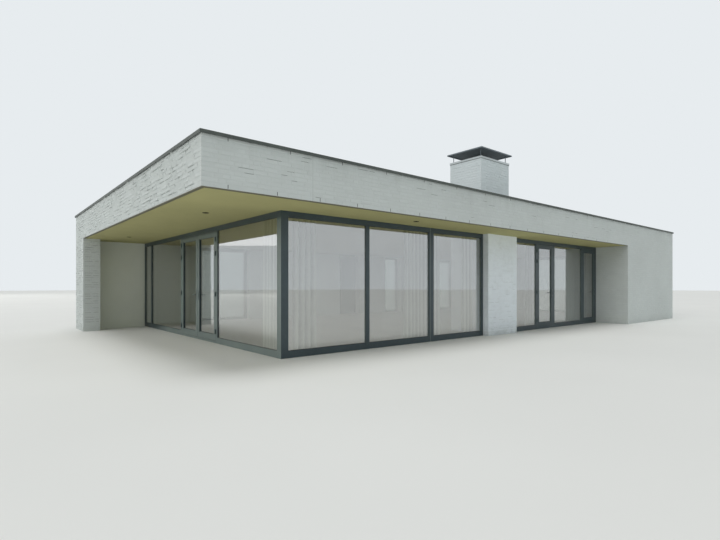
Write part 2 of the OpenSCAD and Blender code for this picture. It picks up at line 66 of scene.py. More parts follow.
pier_low, pier_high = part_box("hearth_pier")
stack_low, stack_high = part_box("chimney_stack")
deck_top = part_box("roof_deck")[1].z

# How far a hole reaches past the edge that it starts from, and a height above every wall
past, above_walls = 0.01, 4.0
# Corners of a box's six faces, the one at the bottom first
BOX_QUADS = ((0, 3, 2, 1), (4, 5, 6, 7), (0, 1, 5, 4), (1, 2, 6, 5), (2, 3, 7, 6), (3, 0, 4, 7))


def colour(red, green, blue):
    """A colour written as it looks on a screen, from 0 to 255, as linear values with alpha."""
    return tuple(
        (v / 255 / 12.92) if v <= 10 else ((v / 255 + 0.055) / 1.055) ** 2.4
        for v in (red, green, blue)
    ) + (1.0,)


def colour_property(name, description, shade):
    return bpy.props.FloatVectorProperty(
        name=name, description=description, subtype="COLOR", size=4, min=0, max=1,
        default=colour(*shade),
    )


def length_property(name, description, default):
    return bpy.props.FloatProperty(
        name=name, description=description, default=default, min=0, unit="LENGTH"
    )


def level_property(name, description, default):
    return bpy.props.FloatProperty(name=name, description=description, default=default, min=0)


def share_property(name, description, default):
    return bpy.props.FloatProperty(
        name=name, description=description, default=default, min=0, max=1, subtype="FACTOR"
    )


class BrickworkSettings(bpy.types.PropertyGroup):
    """Sizes and paint of the brick skin"""

    course: length_property("Course", "Height of one course with its joint", 0.0628)
    module: length_property("Module", "Length of one brick with its joint", 0.22)
    joint: length_property("Joint", "Width of the bed joints", 0.0118)
    perpend: length_property("Perpend", "Width of the upright joints", 0.0095)
    relief: length_property("Relief", "How far a brick stands out of its joint", 0.0018)
    uneven: length_property("Unevenness", "How far a brick's corners differ", 0.0007)
    weep_spacing: length_property("Weep slots", "Distance between the weep slot shade", 0.74)
    paint: colour_property("Paint", "Colour of the painted bricks", (206, 212, 210))
    joint_paint: colour_property("Joints", "Colour of the painted joints", (203, 209, 207))
    # painted light: the pier's paint is paler than the other bricks' to stand in for the brighter light on
    # it
    pier_lit_paint: colour_property("Pier paint", "Fresher paint of the brick pier", (238, 245, 250))
    stack_paint: colour_property("Chimney paint", "Paint of the chimney", (226, 235, 237))
    sealant: colour_property("Sealant", "Colour of the sealed joints", (190, 197, 194))
    # painted shade: the dark colour stands in for the shade inside the open weep joints
    weep_shade: colour_property("Weep slot shade", "Colour inside the weep slots", (84, 87, 86))
    dirt: colour_property("Dirt", "Colour of rain streaks and splashes", (140, 146, 136))
    dirt_amount: share_property("Weathering", "How strongly the paint has weathered", 0.22)
    pier_dirt: share_property("Pier weathering", "How strongly the pier has weathered", 0.5)
    stack_dirt: share_property("Chimney weathering", "How strongly the chimney has weathered", 0.06)


class FrameSettings(bpy.types.PropertyGroup):
    """Finish of window frames, doors and the steel angle"""

    coat: colour_property("Coating", "Powder coat of frames and doors", (54, 68, 73))
    # painted sheen: a paler coat colour that faces looking to -X get, standing in for the light they catch
    painted_sheen: colour_property("Painted sheen", "Coat that sun and sea wind have dulled", (116, 129, 126))
    angle: colour_property("Steel angle", "Paint of the angle under the fascias", (104, 102, 84))
    roughness: share_property("Roughness", "Roughness of the powder coat", 0.33)
    gasket: length_property("Gasket", "Width of the rubber beside the glass", 0.006)
    tape: colour_property("Tape", "Colour of the sealing tape between two elements", (168, 176, 176))
    rubber: colour_property("Rubber", "Colour of the gaskets", (22, 23, 24))
    steel: colour_property("Steel", "Colour of the lock roses", (158, 160, 160))


class GlassSettings(bpy.types.PropertyGroup):
    """Sealed units of the windows and doors"""

    tint: colour_property("Tint", "Colour that the coated glass gives to daylight", (244, 248, 246))
    rear_tint: colour_property("Rear tint", "Colour that the rear panes give to daylight", (120, 126, 124))
    ripple: share_property("Ripple", "Unevenness of the panes' reflections", 0.05)


class RoofSettings(bpy.types.PropertyGroup):
    """Coping, roofing sheet and chimney"""

    coping: colour_property("Coping", "Colour of the folded metal coping", (78, 84, 80))
    coping_length: length_property("Coping length", "Length of one coping piece", 2.85)
    sheet: colour_property("Sheet", "Colour of the mineral roofing sheet", (150, 152, 150))
    sheet_width: length_property("Sheet width", "Width of one strip of roofing sheet", 1.0)
    crown: colour_property("Crown", "Colour of the mortar crown", (212, 220, 222))
    # painted shadow: the grey strip under the crown stands in for the shadow under its overhang
    crown_shadow: colour_property("Crown shadow", "Colour of the lead edge under the crown", (142, 148, 149))
    clay: colour_property("Clay", "Colour of the flue liner", (176, 160, 142))
    cap: colour_property("Cap", "Colour of the chimney's cap plate", (106, 116, 122))


class PorchSettings(bpy.types.PropertyGroup):
    """Plaster, lamps, floor and ceiling"""

    # painted light: the soffit's yellow stands in for warm bounce light on pale plaster
    soffit: colour_property("Soffit", "Colour of the soffit plaster", (180, 176, 124))
    plaster: colour_property("Porch plaster", "Colour of the smooth porch walls", (226, 230, 219))
    ceiling: colour_property("Ceiling", "Colour of the ceiling plaster", (214, 211, 202))
    lamp: colour_property("Lamps", "Colour of the recessed lamps", (12, 12, 12))
    tile: colour_property("Tiles", "Colour of the floor tiles", (158, 152, 142))
    grout: colour_property("Grout", "Colour between the floor tiles", (116, 112, 105))
    tile_size: length_property("Tile size", "Side of one floor tile", 0.6)
    board_width: length_property("Board width", "Distance between the soffit's joints", 1.2)


class CurtainSettings(bpy.types.PropertyGroup):
    """Gathered curtains behind the glass"""

    sheer: colour_property("Sheer", "Colour of the lounge curtains", (246, 249, 240))
    lining: colour_property("Lined", "Colour of the bedroom curtains", (186, 192, 192))
    pitch: length_property("Fold pitch", "Distance between two folds", 0.118)
    veil: share_property("Veil", "How much the sheer cloth covers", 0.86)
    rail: colour_property("Rails", "Colour of the curtain rails", (216, 216, 212))


class StudioSettings(bpy.types.PropertyGroup):
    """Camera, light and floor of the studio"""

    camera: bpy.props.FloatVectorProperty(
        name="Camera", description="Where the camera stands", subtype="XYZ", unit="LENGTH",
        size=3, default=(-11.174, -10.598, 1.24),
    )
    heading: bpy.props.FloatProperty(
        name="Heading", description="Turn of the level camera about Z", unit="ROTATION",
        default=-0.69433,
    )
    lens: bpy.props.FloatProperty(
        name="Lens", description="Focal length in millimetres", default=23.02, min=1
    )
    rise: bpy.props.FloatProperty(
        name="Rise", description="Upright shift of the lens", default=0.02117
    )
    floor: colour_property("Floor", "Colour of the studio floor", (226, 227, 224))
    backdrop: colour_property("Backdrop", "Colour behind the house", (231, 236, 239))
    ambient: share_property("Ambient", "Level of the light from all round", 0.38)
    key: level_property("Key", "Strength of the soft lamp on the left", 0.6)
    fill: level_property("Fill", "Strength of the cool lamp in front", 0.27)
    room: level_property("Room", "Level of the panel under the lounge ceiling", 0.28)
    softbox: level_property("Softbox", "Level of the panel beyond the porch", 0.85)
    top: level_property("Top", "Strength of the soft lamp overhead", 1.25)


def settings(name):
    """The scene's values of one property group, by its short name."""
    return getattr(bpy.context.scene, "beach_house_" + name)


def feed(tree, socket, value):
    """Links a socket to another one, or writes a plain value into it."""
    if isinstance(value, bpy.types.NodeSocket):
        tree.links.new(value, socket)
    else:
        socket.default_value = value


def sums(tree, operation, *values):
    """The result of one step of arithmetic."""
    node = tree.nodes.new("ShaderNodeMath")
    node.operation = operation
    for socket, value in zip(node.inputs, values):
        feed(tree, socket, value)
    return node.outputs[0]


def spread(tree, value, low, high, to_low=0.0, to_high=1.0):
    """A value between low and high, mapped to lie between two other values."""
    node = tree.nodes.new("ShaderNodeMapRange")
    for socket, number in zip(node.inputs, (value, low, high, to_low, to_high)):
        feed(tree, socket, number)
    return node.outputs[0]


def between(tree, share, low, high):
    """A share from 0 to 1 turned into a value from low to high."""
    return spread(tree, share, 0.0, 1.0, low, high)


def blend(tree, share, first, second, kind="MIX"):
    """Two colours mixed, with the given share of the second one."""
    node = tree.nodes.new("ShaderNodeMix")
    node.data_type = "RGBA"
    node.blend_type = kind
    for place, value in ((0, share), (6, first), (7, second)):
        feed(tree, node.inputs[place], value)
    return node.outputs[2]


def tinted(tree, shade, factor):
    """A colour multiplied by another colour or by a number."""
    return blend(tree, 1.0, shade, factor, "MULTIPLY")


def noise(tree, vector, scale, detail=3.0, roughness=0.5):
    """Plain noise, from 0 to 1."""
    node = tree.nodes.new("ShaderNodeTexNoise")
    for label, value in (
        ("Vector", vector), ("Scale", scale), ("Detail", detail), ("Roughness", roughness)
    ):
        feed(tree, node.inputs[label], value)
    return node.outputs["Fac"]


def clouded(tree, vector, scale, detail, low, high, roughness=0.5):
    """Soft clouds of noise that lie between two values."""
    return spread(tree, noise(tree, vector, scale, detail, roughness), 0.3, 0.7, low, high)


def stretched(tree, vector, factors):
    """A place scaled along its three axes."""
    node = tree.nodes.new("ShaderNodeMapping")
    feed(tree, node.inputs["Vector"], vector)
    node.inputs["Scale"].default_value = factors
    return node.outputs[0]


def axes_of(tree, vector):
    """The X, Y and Z of a place or direction."""
    node = tree.nodes.new("ShaderNodeSeparateXYZ")
    feed(tree, node.inputs[0], vector)
    return node.outputs


def tone_of(tree):
    """The value that a mesh keeps with each of its points: a brick's own tone, or a curtain's fold depth
    for its painted shade.
    """
    node = tree.nodes.new("ShaderNodeAttribute")
    node.attribute_name = "tone"
    return node.outputs["Fac"]


def effect(name, inputs, outputs):
    """An empty shader node group with named sockets, and its two end nodes."""
    group = bpy.data.node_groups.new(name, "ShaderNodeTree")
    for label, kind, value in inputs:
        socket = group.interface.new_socket(name=label, in_out="INPUT", socket_type=kind)
        if value is not None:
            socket.default_value = value
    for label, kind in outputs:
        group.interface.new_socket(name=label, in_out="OUTPUT", socket_type=kind)
    start = group.nodes.new("NodeGroupInput").outputs
    end = group.nodes.new("NodeGroupOutput").inputs
    return group, start, end


def weathering_effect():
    """Cloudy paint with rain streaks under the coping and splashes near the ground."""
    group, start, end = effect(
        "Weathering",
        [
            ("Vector", "NodeSocketVector", None),
            ("Colour", "NodeSocketColor", (0.6, 0.6, 0.6, 1)),
            ("Dirt", "NodeSocketColor", (0.2, 0.2, 0.18, 1)),
            ("Amount", "NodeSocketFloat", 0.4),
            ("Drip Height", "NodeSocketFloat", 3.2),
            ("Drip Reach", "NodeSocketFloat", 0.5),
            ("Splash Height", "NodeSocketFloat", 0.3),
        ],
        [("Colour", "NodeSocketColor"), ("Dirt", "NodeSocketFloat")],
    )
    place = axes_of(group, start["Vector"])
    clouds = clouded(group, start["Vector"], 0.55, 4.0, 0.95, 1.04, 0.55)
    patches = noise(group, start["Vector"], 6.0, 4.0, 0.6)
    drips = noise(group, stretched(group, start["Vector"], (5.5, 5.5, 0.25)), 1.0, 4.0, 0.65)
    below = sums(group, "SUBTRACT", start["Drip Height"], place["Z"])
    near_top = between(group, sums(group, "DIVIDE", below, start["Drip Reach"]), 1.0, 0.0)
    drips = sums(group, "MULTIPLY", spread(group, drips, 0.48, 0.78), near_top)
    ragged = sums(group, "ADD", place["Z"], spread(group, patches, 0.3, 0.7, -0.09, 0.09))
    splash = between(group, sums(group, "DIVIDE", ragged, start["Splash Height"]), 1.0, 0.0)
    splash = sums(group, "MULTIPLY", splash, 0.75)
    dust = spread(group, patches, 0.5, 0.85, 0.0, 0.3)
    total = sums(group, "MAXIMUM", sums(group, "MAXIMUM", drips, splash), dust)
    total = sums(group, "MULTIPLY", total, start["Amount"])
    soft = tinted(group, start["Colour"], clouds)
    feed(group, end["Colour"], blend(group, total, soft, start["Dirt"]))
    feed(group, end["Dirt"], total)
    return group


def grain_effect():
    """Fine unevenness of a coated or cast surface, as a height and a roughness change."""
    group, start, end = effect(
        "Grain",
        [
            ("Vector", "NodeSocketVector", None),
            ("Coarse", "NodeSocketFloat", 30.0),
            ("Fine", "NodeSocketFloat", 160.0),
            ("Balance", "NodeSocketFloat", 0.5),
        ],
        [("Height", "NodeSocketFloat"), ("Speckle", "NodeSocketFloat")],
    )
    coarse = noise(group, start["Vector"], start["Coarse"], 3.0)
    fine = noise(group, start["Vector"], start["Fine"], 2.0, 0.7)
    mixed = sums(group, "MULTIPLY_ADD", sums(group, "SUBTRACT", fine, coarse), start["Balance"], coarse)
    feed(group, end["Height"], mixed)
    feed(group, end["Speckle"], spread(group, fine, 0.35, 0.65))
    return group


def joints_effect():
    """Masks of straight joints at an even spacing along X and along Y."""
    group, start, end = effect(
        "Joint lines",
        [
            ("Vector", "NodeSocketVector", None),
            ("Spacing", "NodeSocketFloat", 1.0),
            ("Width", "NodeSocketFloat", 0.004),
        ],
        [("Across X", "NodeSocketFloat"), ("Across Y", "NodeSocketFloat"), ("Cell", "NodeSocketFloat")],
    )
    place = axes_of(group, start["Vector"])
    limit = sums(group, "DIVIDE", start["Width"], sums(group, "MULTIPLY", start["Spacing"], 2.0))
    limit = sums(group, "SUBTRACT", 0.5, limit)
    cells = []
    for axis, label in (("X", "Across X"), ("Y", "Across Y")):
        turns = sums(group, "DIVIDE", place[axis], start["Spacing"])
        cells.append(sums(group, "FLOOR", turns))
        distance = sums(group, "ABSOLUTE", sums(group, "SUBTRACT", sums(group, "FRACT", turns), 0.5))
        feed(group, end[label], sums(group, "GREATER_THAN", distance, limit))
    number = sums(group, "MULTIPLY_ADD", cells[0], 7.31, sums(group, "MULTIPLY", cells[1], 3.17))
    swing = sums(group, "ABSOLUTE", sums(group, "SINE", number))
    feed(group, end["Cell"], sums(group, "FRACT", swing))
    return group


def weave_effect():
    """Threads of a woven cloth along its height and width, as a height and a shade."""
    group, start, end = effect(
        "Weave",
        [
            ("Vector", "NodeSocketVector", None),
            ("Threads", "NodeSocketFloat", 700.0),
            ("Slub", "NodeSocketFloat", 0.4),
        ],
        [("Height", "NodeSocketFloat"), ("Shade", "NodeSocketFloat")],
    )
    place = axes_of(group, start["Vector"])
    waves = [
        sums(group, "SINE", sums(group, "MULTIPLY", place[axis], start["Threads"]))
        for axis in ("X", "Y", "Z")
    ]
    total = sums(group, "ADD", sums(group, "ADD", waves[0], waves[1]), waves[2])
    feed(group, end["Height"], spread(group, total, -3.0, 3.0))
    slub = noise(group, stretched(group, start["Vector"], (60.0, 60.0, 4.0)), 1.0, 3.0)
    shade = spread(group, slub, 0.3, 0.7, -0.5, 0.5)
    feed(group, end["Shade"], sums(group, "MULTIPLY_ADD", shade, start["Slub"], 1.0))
    return group


effects = {}
finishes = {}


def group_node(tree, name, **values):
    """Places an effect in a material; a value's key is its socket's name with _ for a space."""
    makers = {
        "Weathering": weathering_effect, "Grain": grain_effect,
        "Joint lines": joints_effect, "Weave": weave_effect,
    }
    if name not in effects:
        effects[name] = makers[name]()
    node = tree.nodes.new("ShaderNodeGroup")
    node.node_tree = effects[name]
    for label, value in values.items():
        feed(tree, node.inputs[label.replace("_", " ")], value)
    return node.outputs


def new_finish(name, metallic=0.0, roughness=0.5, specular=0.5):
    """A material with its Principled shader and the object's own coordinates."""
    made = bpy.data.materials.new(name)
    made.use_nodes = True
    tree = made.node_tree
    shader = tree.nodes["Principled BSDF"]
    shader.inputs["Metallic"].default_value = metallic
    shader.inputs["Roughness"].default_value = roughness
    shader.inputs["Specular IOR Level"].default_value = specular
    place = tree.nodes.new("ShaderNodeTexCoord").outputs["Object"]
    finishes[name] = made
    return made, tree, shader.inputs, place


def bumped(tree, inputs, height, strength, distance):
    """Turns a height into a material's normal."""
    node = tree.nodes.new("ShaderNodeBump")
    node.inputs["Strength"].default_value = strength
    node.inputs["Distance"].default_value = distance
    feed(tree, node.inputs["Height"], height)
    feed(tree, inputs["Normal"], node.outputs[0])


def painted_finish(name, shade, brick, amount=None):
    """White exterior paint; on bricks each one has its own slight tone."""
    if name in finishes:
        return finishes[name]
    values = settings("brickwork")
    made, tree, inputs, place = new_finish(name, roughness=0.78, specular=0.35)
    worn = group_node(
        tree, "Weathering", Vector=place, Colour=tuple(shade), Dirt=tuple(values.dirt),
        Amount=values.dirt_amount if amount is None else amount, Drip_Height=3.2, Drip_Reach=0.45,
        Splash_Height=0.26 if brick else 0.12,
    )
    paint = worn["Colour"]
    if brick:
        paint = tinted(tree, paint, between(tree, tone_of(tree), 0.975, 1.015))
    grain = group_node(tree, "Grain", Vector=place, Coarse=34.0, Fine=150.0, Balance=0.35)
    feed(tree, inputs["Base Color"], tinted(tree, paint, between(tree, grain["Speckle"], 0.97, 1.02)))
    feed(tree, inputs["Roughness"], between(tree, grain["Speckle"], 0.7, 0.86))
    bumped(tree, inputs, grain["Height"], 0.5, 0.004 if brick else 0.0025)
    return made


def painted_sheen_mask(tree, place):
    """Painted sheen: lighter patches on faces that look to -X, standing in for the light they catch, kept
    off the head bars and the nook.
    """
    normal = axes_of(tree, tree.nodes["Texture Coordinate"].outputs["Normal"])
    film = clouded(tree, place, 2.2, 3.0, 0.8, 1.0)
    spot = axes_of(tree, place)
    for value, open_until, sheltered_from in ((spot["Z"], 2.34, 2.4), (spot["Y"], 2.2, 3.2)):
        film = sums(tree, "MULTIPLY", film, spread(tree, value, open_until, sheltered_from, 1.0, 0.0))
    return sums(tree, "MULTIPLY", spread(tree, normal["X"], -0.9, -0.6, 1.0, 0.0), film)


def coated_finish(name, shade, roughness, metallic=0.0, joints=None, worn=0.0, painted_sheen=None):
    """Powder-coated or painted metal, with joint lines where it is made in lengths, and painted sheen on
    faces that look to -X where a sheen colour is given.
    """
    if name in finishes:
        return finishes[name]
    made, tree, inputs, place = new_finish(name, metallic, roughness, 0.5)
    grain = group_node(tree, "Grain", Vector=place, Coarse=3.0, Fine=420.0, Balance=0.5)
    paint = tinted(tree, tuple(shade), clouded(tree, place, 1.7, 3.0, 0.9, 1.12))
    dust = tuple(min(1.0, v * 2.2 + 0.02) for v in tuple(shade)[:3]) + (1.0,)
    film = spread(tree, noise(tree, place, 14.0, 4.0, 0.7), 0.45, 0.8, 0.0, 0.16 + worn)
    paint = blend(tree, film, paint, dust)
    # painted sheen: faces that look to -X blend towards a paler colour, standing in for the light they
    # catch
    if painted_sheen:
        paint = blend(tree, painted_sheen_mask(tree, place), paint, tuple(painted_sheen))
    height = grain["Height"]
    if joints:
        lines = group_node(tree, "Joint lines", Vector=place, Spacing=joints, Width=0.006)
        line = sums(tree, "MAXIMUM", lines["Across X"], lines["Across Y"])
        paint = blend(tree, sums(tree, "MULTIPLY", line, 0.75), paint, (0.01, 0.011, 0.012, 1.0))
        height = sums(tree, "SUBTRACT", height, line)
    feed(tree, inputs["Base Color"], paint)
    feed(tree, inputs["Roughness"], between(tree, grain["Speckle"], roughness - 0.05, roughness + 0.09))
    bumped(tree, inputs, height, 0.25, 0.0012)
    return made


def plain_finish(name, shade, roughness, coarse, fine, depth, change=0.06):
    """Plaster, mortar, clay, rubber or concrete: a cloudy shade with a fine tooth."""
    if name in finishes:
        return finishes[name]
    made, tree, inputs, place = new_finish(name, 0.0, roughness, 0.35)
    grain = group_node(tree, "Grain", Vector=place, Coarse=coarse, Fine=fine, Balance=0.4)
    paint = tinted(tree, tuple(shade), clouded(tree, place, 0.9, 4.0, 1 - change, 1 + change))
    speckled = between(tree, grain["Speckle"], 1 - change / 2, 1 + change / 2)
    feed(tree, inputs["Base Color"], tinted(tree, paint, speckled))
    dull = min(1.0, roughness + 0.06)
    feed(tree, inputs["Roughness"], between(tree, grain["Speckle"], roughness - 0.06, dull))
    bumped(tree, inputs, grain["Height"], 0.4, depth)
    return made


def dress(material, *names):
    """Gives CAD nodes a finish in place of the packed one."""
    for name in names:
        mesh = nodes[name].data
        if not mesh.materials:
            mesh.materials.append(material)
        for place in range(len(mesh.materials)):
            mesh.materials[place] = material


def piece(name, points, faces, material, body, slot, tones=None):
    """A mesh piece in the house's own frame that rides on a body."""
    mesh = bpy.data.meshes.new(name)
    mesh.from_pydata(points, [], faces)
    mesh.materials.append(material)
    if tones:
        mesh.attributes.new("tone", "FLOAT", "POINT").data.foreach_set("value", tones)
    mesh.update()
    made = bpy.data.objects.new(name, mesh)
    bpy.context.scene.collection.objects.link(made)
    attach(made, body)
    return made


def numbered(quads, start):
    """The faces of a shape whose first point has the number start."""
    return [tuple(start + corner for corner in quad) for quad in quads]


def outline(low, high, z):
    """The four corners of a rectangle between two corners, at one height."""
    return [(low[0], low[1], z), (high[0], low[1], z), (high[0], high[1], z), (low[0], high[1], z)]


def add_box(points, faces, low, high):
    """A box between its lowest and highest corner."""
    faces.extend(numbered(BOX_QUADS, len(points)))
    for z in (low[2], high[2]):
        points.extend(outline(low, high, z))


def join_rings(faces, start, rings, sides):
    """The faces between closed rings of points that follow one another."""
    for ring in range(rings - 1):
        for step in range(sides):
            a = start + ring * sides + step
            b = start + ring * sides + (step + 1) % sides
            faces.append((a, b, b + sides, a + sides))


def cut(span, holes, low, high):
    """The stretches of a course that are left between holes (start, end, bottom, top)."""
    left, middle = [span], (low + high) / 2
    for start, end, bottom, top in holes:
        if bottom < middle < top:
            parts = [
                part for first, last in left
                for part in ((first, min(last, start)), (max(first, end), last))
            ]
            left = [part for part in parts if part[1] - part[0] > Bricks.least_part]
    return left


class Bricks:
    """Gathers raised bricks of one or more wall faces into one mesh."""

    # How far a corner brick stands out, the width of a brick's sloped rim and how deep that starts
    corner, bevel, sunk = 0.003, 0.0055, 0.001
    # The least that a brick stands out, its usual shares of the relief, and how uneven its edges are
    least_proud, prouds, wobble = 0.0008, (0.6, 0.8, 0.9, 1.1, 1.3, 2.1), 0.0016
    # Share of whole bricks, the shortest closer as a share of a half brick, and the shortest part laid
    whole_share, closer_share, least_part = 0.72, 0.6, 0.02

    def __init__(self, seed, rough=1.0, tilt=None):
        self.points, self.faces, self.tones = [], [], []
        self.weeps = {}
        self.chance = random.Random(seed)
        self.rough = rough
        self.tilt = tilt or rough

    def brick(self, origin, along, out, box, ends):
        """One brick: box is (start, end, bottom, top) on the face, ends tells which are corners."""
        start, end, bottom, top = box
        values, chance, corner = settings("brickwork"), self.chance, self.corner
        proud = values.relief * self.rough * chance.choice(self.prouds)
        rim = min(self.bevel, (end - start) / 4, (top - bottom) / 4)
        slack = values.uneven * self.tilt
        tip = chance.uniform(-slack, slack)
        depths = [
            max(self.least_proud, proud + lean * tip + chance.uniform(-slack, slack) / 2)
            for lean in (-1, -1, 1, 1)
        ]
        first = start - corner if ends[0] else start + rim
        last = end + corner if ends[1] else end - rim
        if ends[0]:
            depths[0] = depths[3] = corner
        if ends[1]:
            depths[1] = depths[2] = corner
        tone = chance.random()
        base = len(self.points)
        rect = ((start, bottom), (end, bottom), (end, top), (start, top))
        wobble = [chance.uniform(-self.wobble, self.wobble) for _ in range(4)]
        rim_rect = (
            (first, bottom + rim + wobble[0]), (last, bottom + rim + wobble[1]),
            (last, top - rim + wobble[2]), (first, top - rim + wobble[3]),
        )
        for (u, z), depth in zip(rect + rim_rect, [-self.sunk] * 4 + depths):
            x, y = (origin[axis] + along[axis] * u + out[axis] * depth for axis in (0, 1))
            self.points.append((x, y, z))
            self.tones.append(tone)
        self.faces.extend(numbered(BOX_QUADS[1:], base))

    def perpends(self, length, odd, fixed=()):
        """Upright joints of one course: a free mix of whole and half bricks, with some places fixed."""
        half = length / max(2, round(2 * length / settings("brickwork").module))
        closer = self.closer_share * half
        edges = [0.0, half, 1.5 * half] if odd else [0.0, 2 * half]
        while edges[-1] < length - closer:
            edges.append(edges[-1] + (2 * half if self.chance.random() < self.whole_share else half))
        while len(edges) > 1 and edges[-1] > length - closer:
            edges.pop()
        for place in fixed:
            nearest = min(range(1, len(edges)), key=lambda n: abs(edges[n] - place))
            edges[nearest] = place
        return sorted(edges) + [length]

    def face(self, origin, along, out, length, low, high, holes=(), odd=0, corners=(True, True)):
        """Free bond on one face; every other course has a closer beside its corner brick."""
        values = settings("brickwork")
        gap, bed = values.perpend / 2, values.joint / 2
        course = round(low / values.course - 0.3)
        while True:
            bottom = max(low, course * values.course + bed)
            top = min(high, (course + 1) * values.course - bed)
            if bottom > high - self.least_part:
                break
            if top - bottom > self.least_part:
                edges = self.perpends(length, (course + odd) % 2, self.weeps.get(course, ()))
                for first, last in zip(edges, edges[1:]):
                    for start, end in cut((first, last), holes, bottom, top):
                        left, right = start < 0.001, end > length - 0.001
                        ends = (left and corners[0], right and corners[1])
                        box = (start if left else start + gap, end if right else end - gap, bottom, top)
                        if box[1] - box[0] > self.least_part:
                            self.brick(origin, along, out, box, ends)
            course += 1

    def build(self, name, finish="painted bricks", shade=None, dirt=None):
        """Makes one painted piece of all the bricks laid so far."""
        if not self.faces:
            raise RuntimeError(name + " has no bricks")
        paint = painted_finish(finish, shade or settings("brickwork").paint, True, dirt)
        piece(name, self.points, self.faces, paint, "house", "brick", self.tones)


def rear_holes():
    """Openings of the back wall and of the right end wall, read from the frames and the door."""
    spans = {"back": [], "end": []}
    for low, high in islands("rear_window_frames") + islands("entrance_door"):
        if high.x - low.x > high.y - low.y:
            spans["back"].append((x_right - high.x, x_right - low.x, -past, soffit_height))
        else:
            spans["end"].append((low.y - y_front, high.y - y_front, -past, soffit_height))
    return spans


def islands(name):
    """Lowest and highest corners of each separate solid in a CAD node."""
    mesh = nodes[name].data
    keys = [tuple(round(c, 5) for c in v.co) for v in mesh.vertices]
    owners, solids = {}, {}
    parent = list(range(len(keys)))

    def root(n):
        while parent[n] != n:
            parent[n] = parent[parent[n]]
            n = parent[n]
        return n

    for number, key in enumerate(keys):
        parent[number] = owners.setdefault(key, number)
    for edge in mesh.edges:
        a, b = root(edge.vertices[0]), root(edge.vertices[1])
        parent[max(a, b)] = min(a, b)
    for number, vertex in enumerate(mesh.vertices):
        solids.setdefault(root(number), []).append(vertex.co)
    found = []
    for points in solids.values():
        low = Vector([min(p[axis] for p in points) for axis in range(3)])
        high = Vector([max(p[axis] for p in points) for axis in range(3)])
        found.append((low, high))
    return sorted(found, key=lambda pair: tuple(pair[0]))


class BEACHHOUSE_OT_walls(bpy.types.Operator):
    """Paint the wall solids, which show as joints between the bricks and as plain inner faces"""

    bl_idname = "beach_house.walls"
    bl_label = "Paint walls"

    def execute(self, context):
        values = settings("brickwork")
        dress(
            painted_finish("painted joints", values.joint_paint, False), "back_wall", "right_end_wall",
            "front_block_wall", "reveal_wall", "return_wall", "front_fascia", "left_fascia",
        )
        # painted light: the pier's joints take its paler lit paint
        dress(painted_finish("pier joints", values.pier_lit_paint, False, values.pier_dirt), "hearth_pier")
        stack = painted_finish("chimney joints", values.stack_paint, False, values.stack_dirt)
        dress(stack, "chimney_stack")
        dress(plain_finish("roof concrete", colour(150, 150, 146), 0.9, 12.0, 90.0, 0.002), "roof_deck")
        return {"FINISHED"}


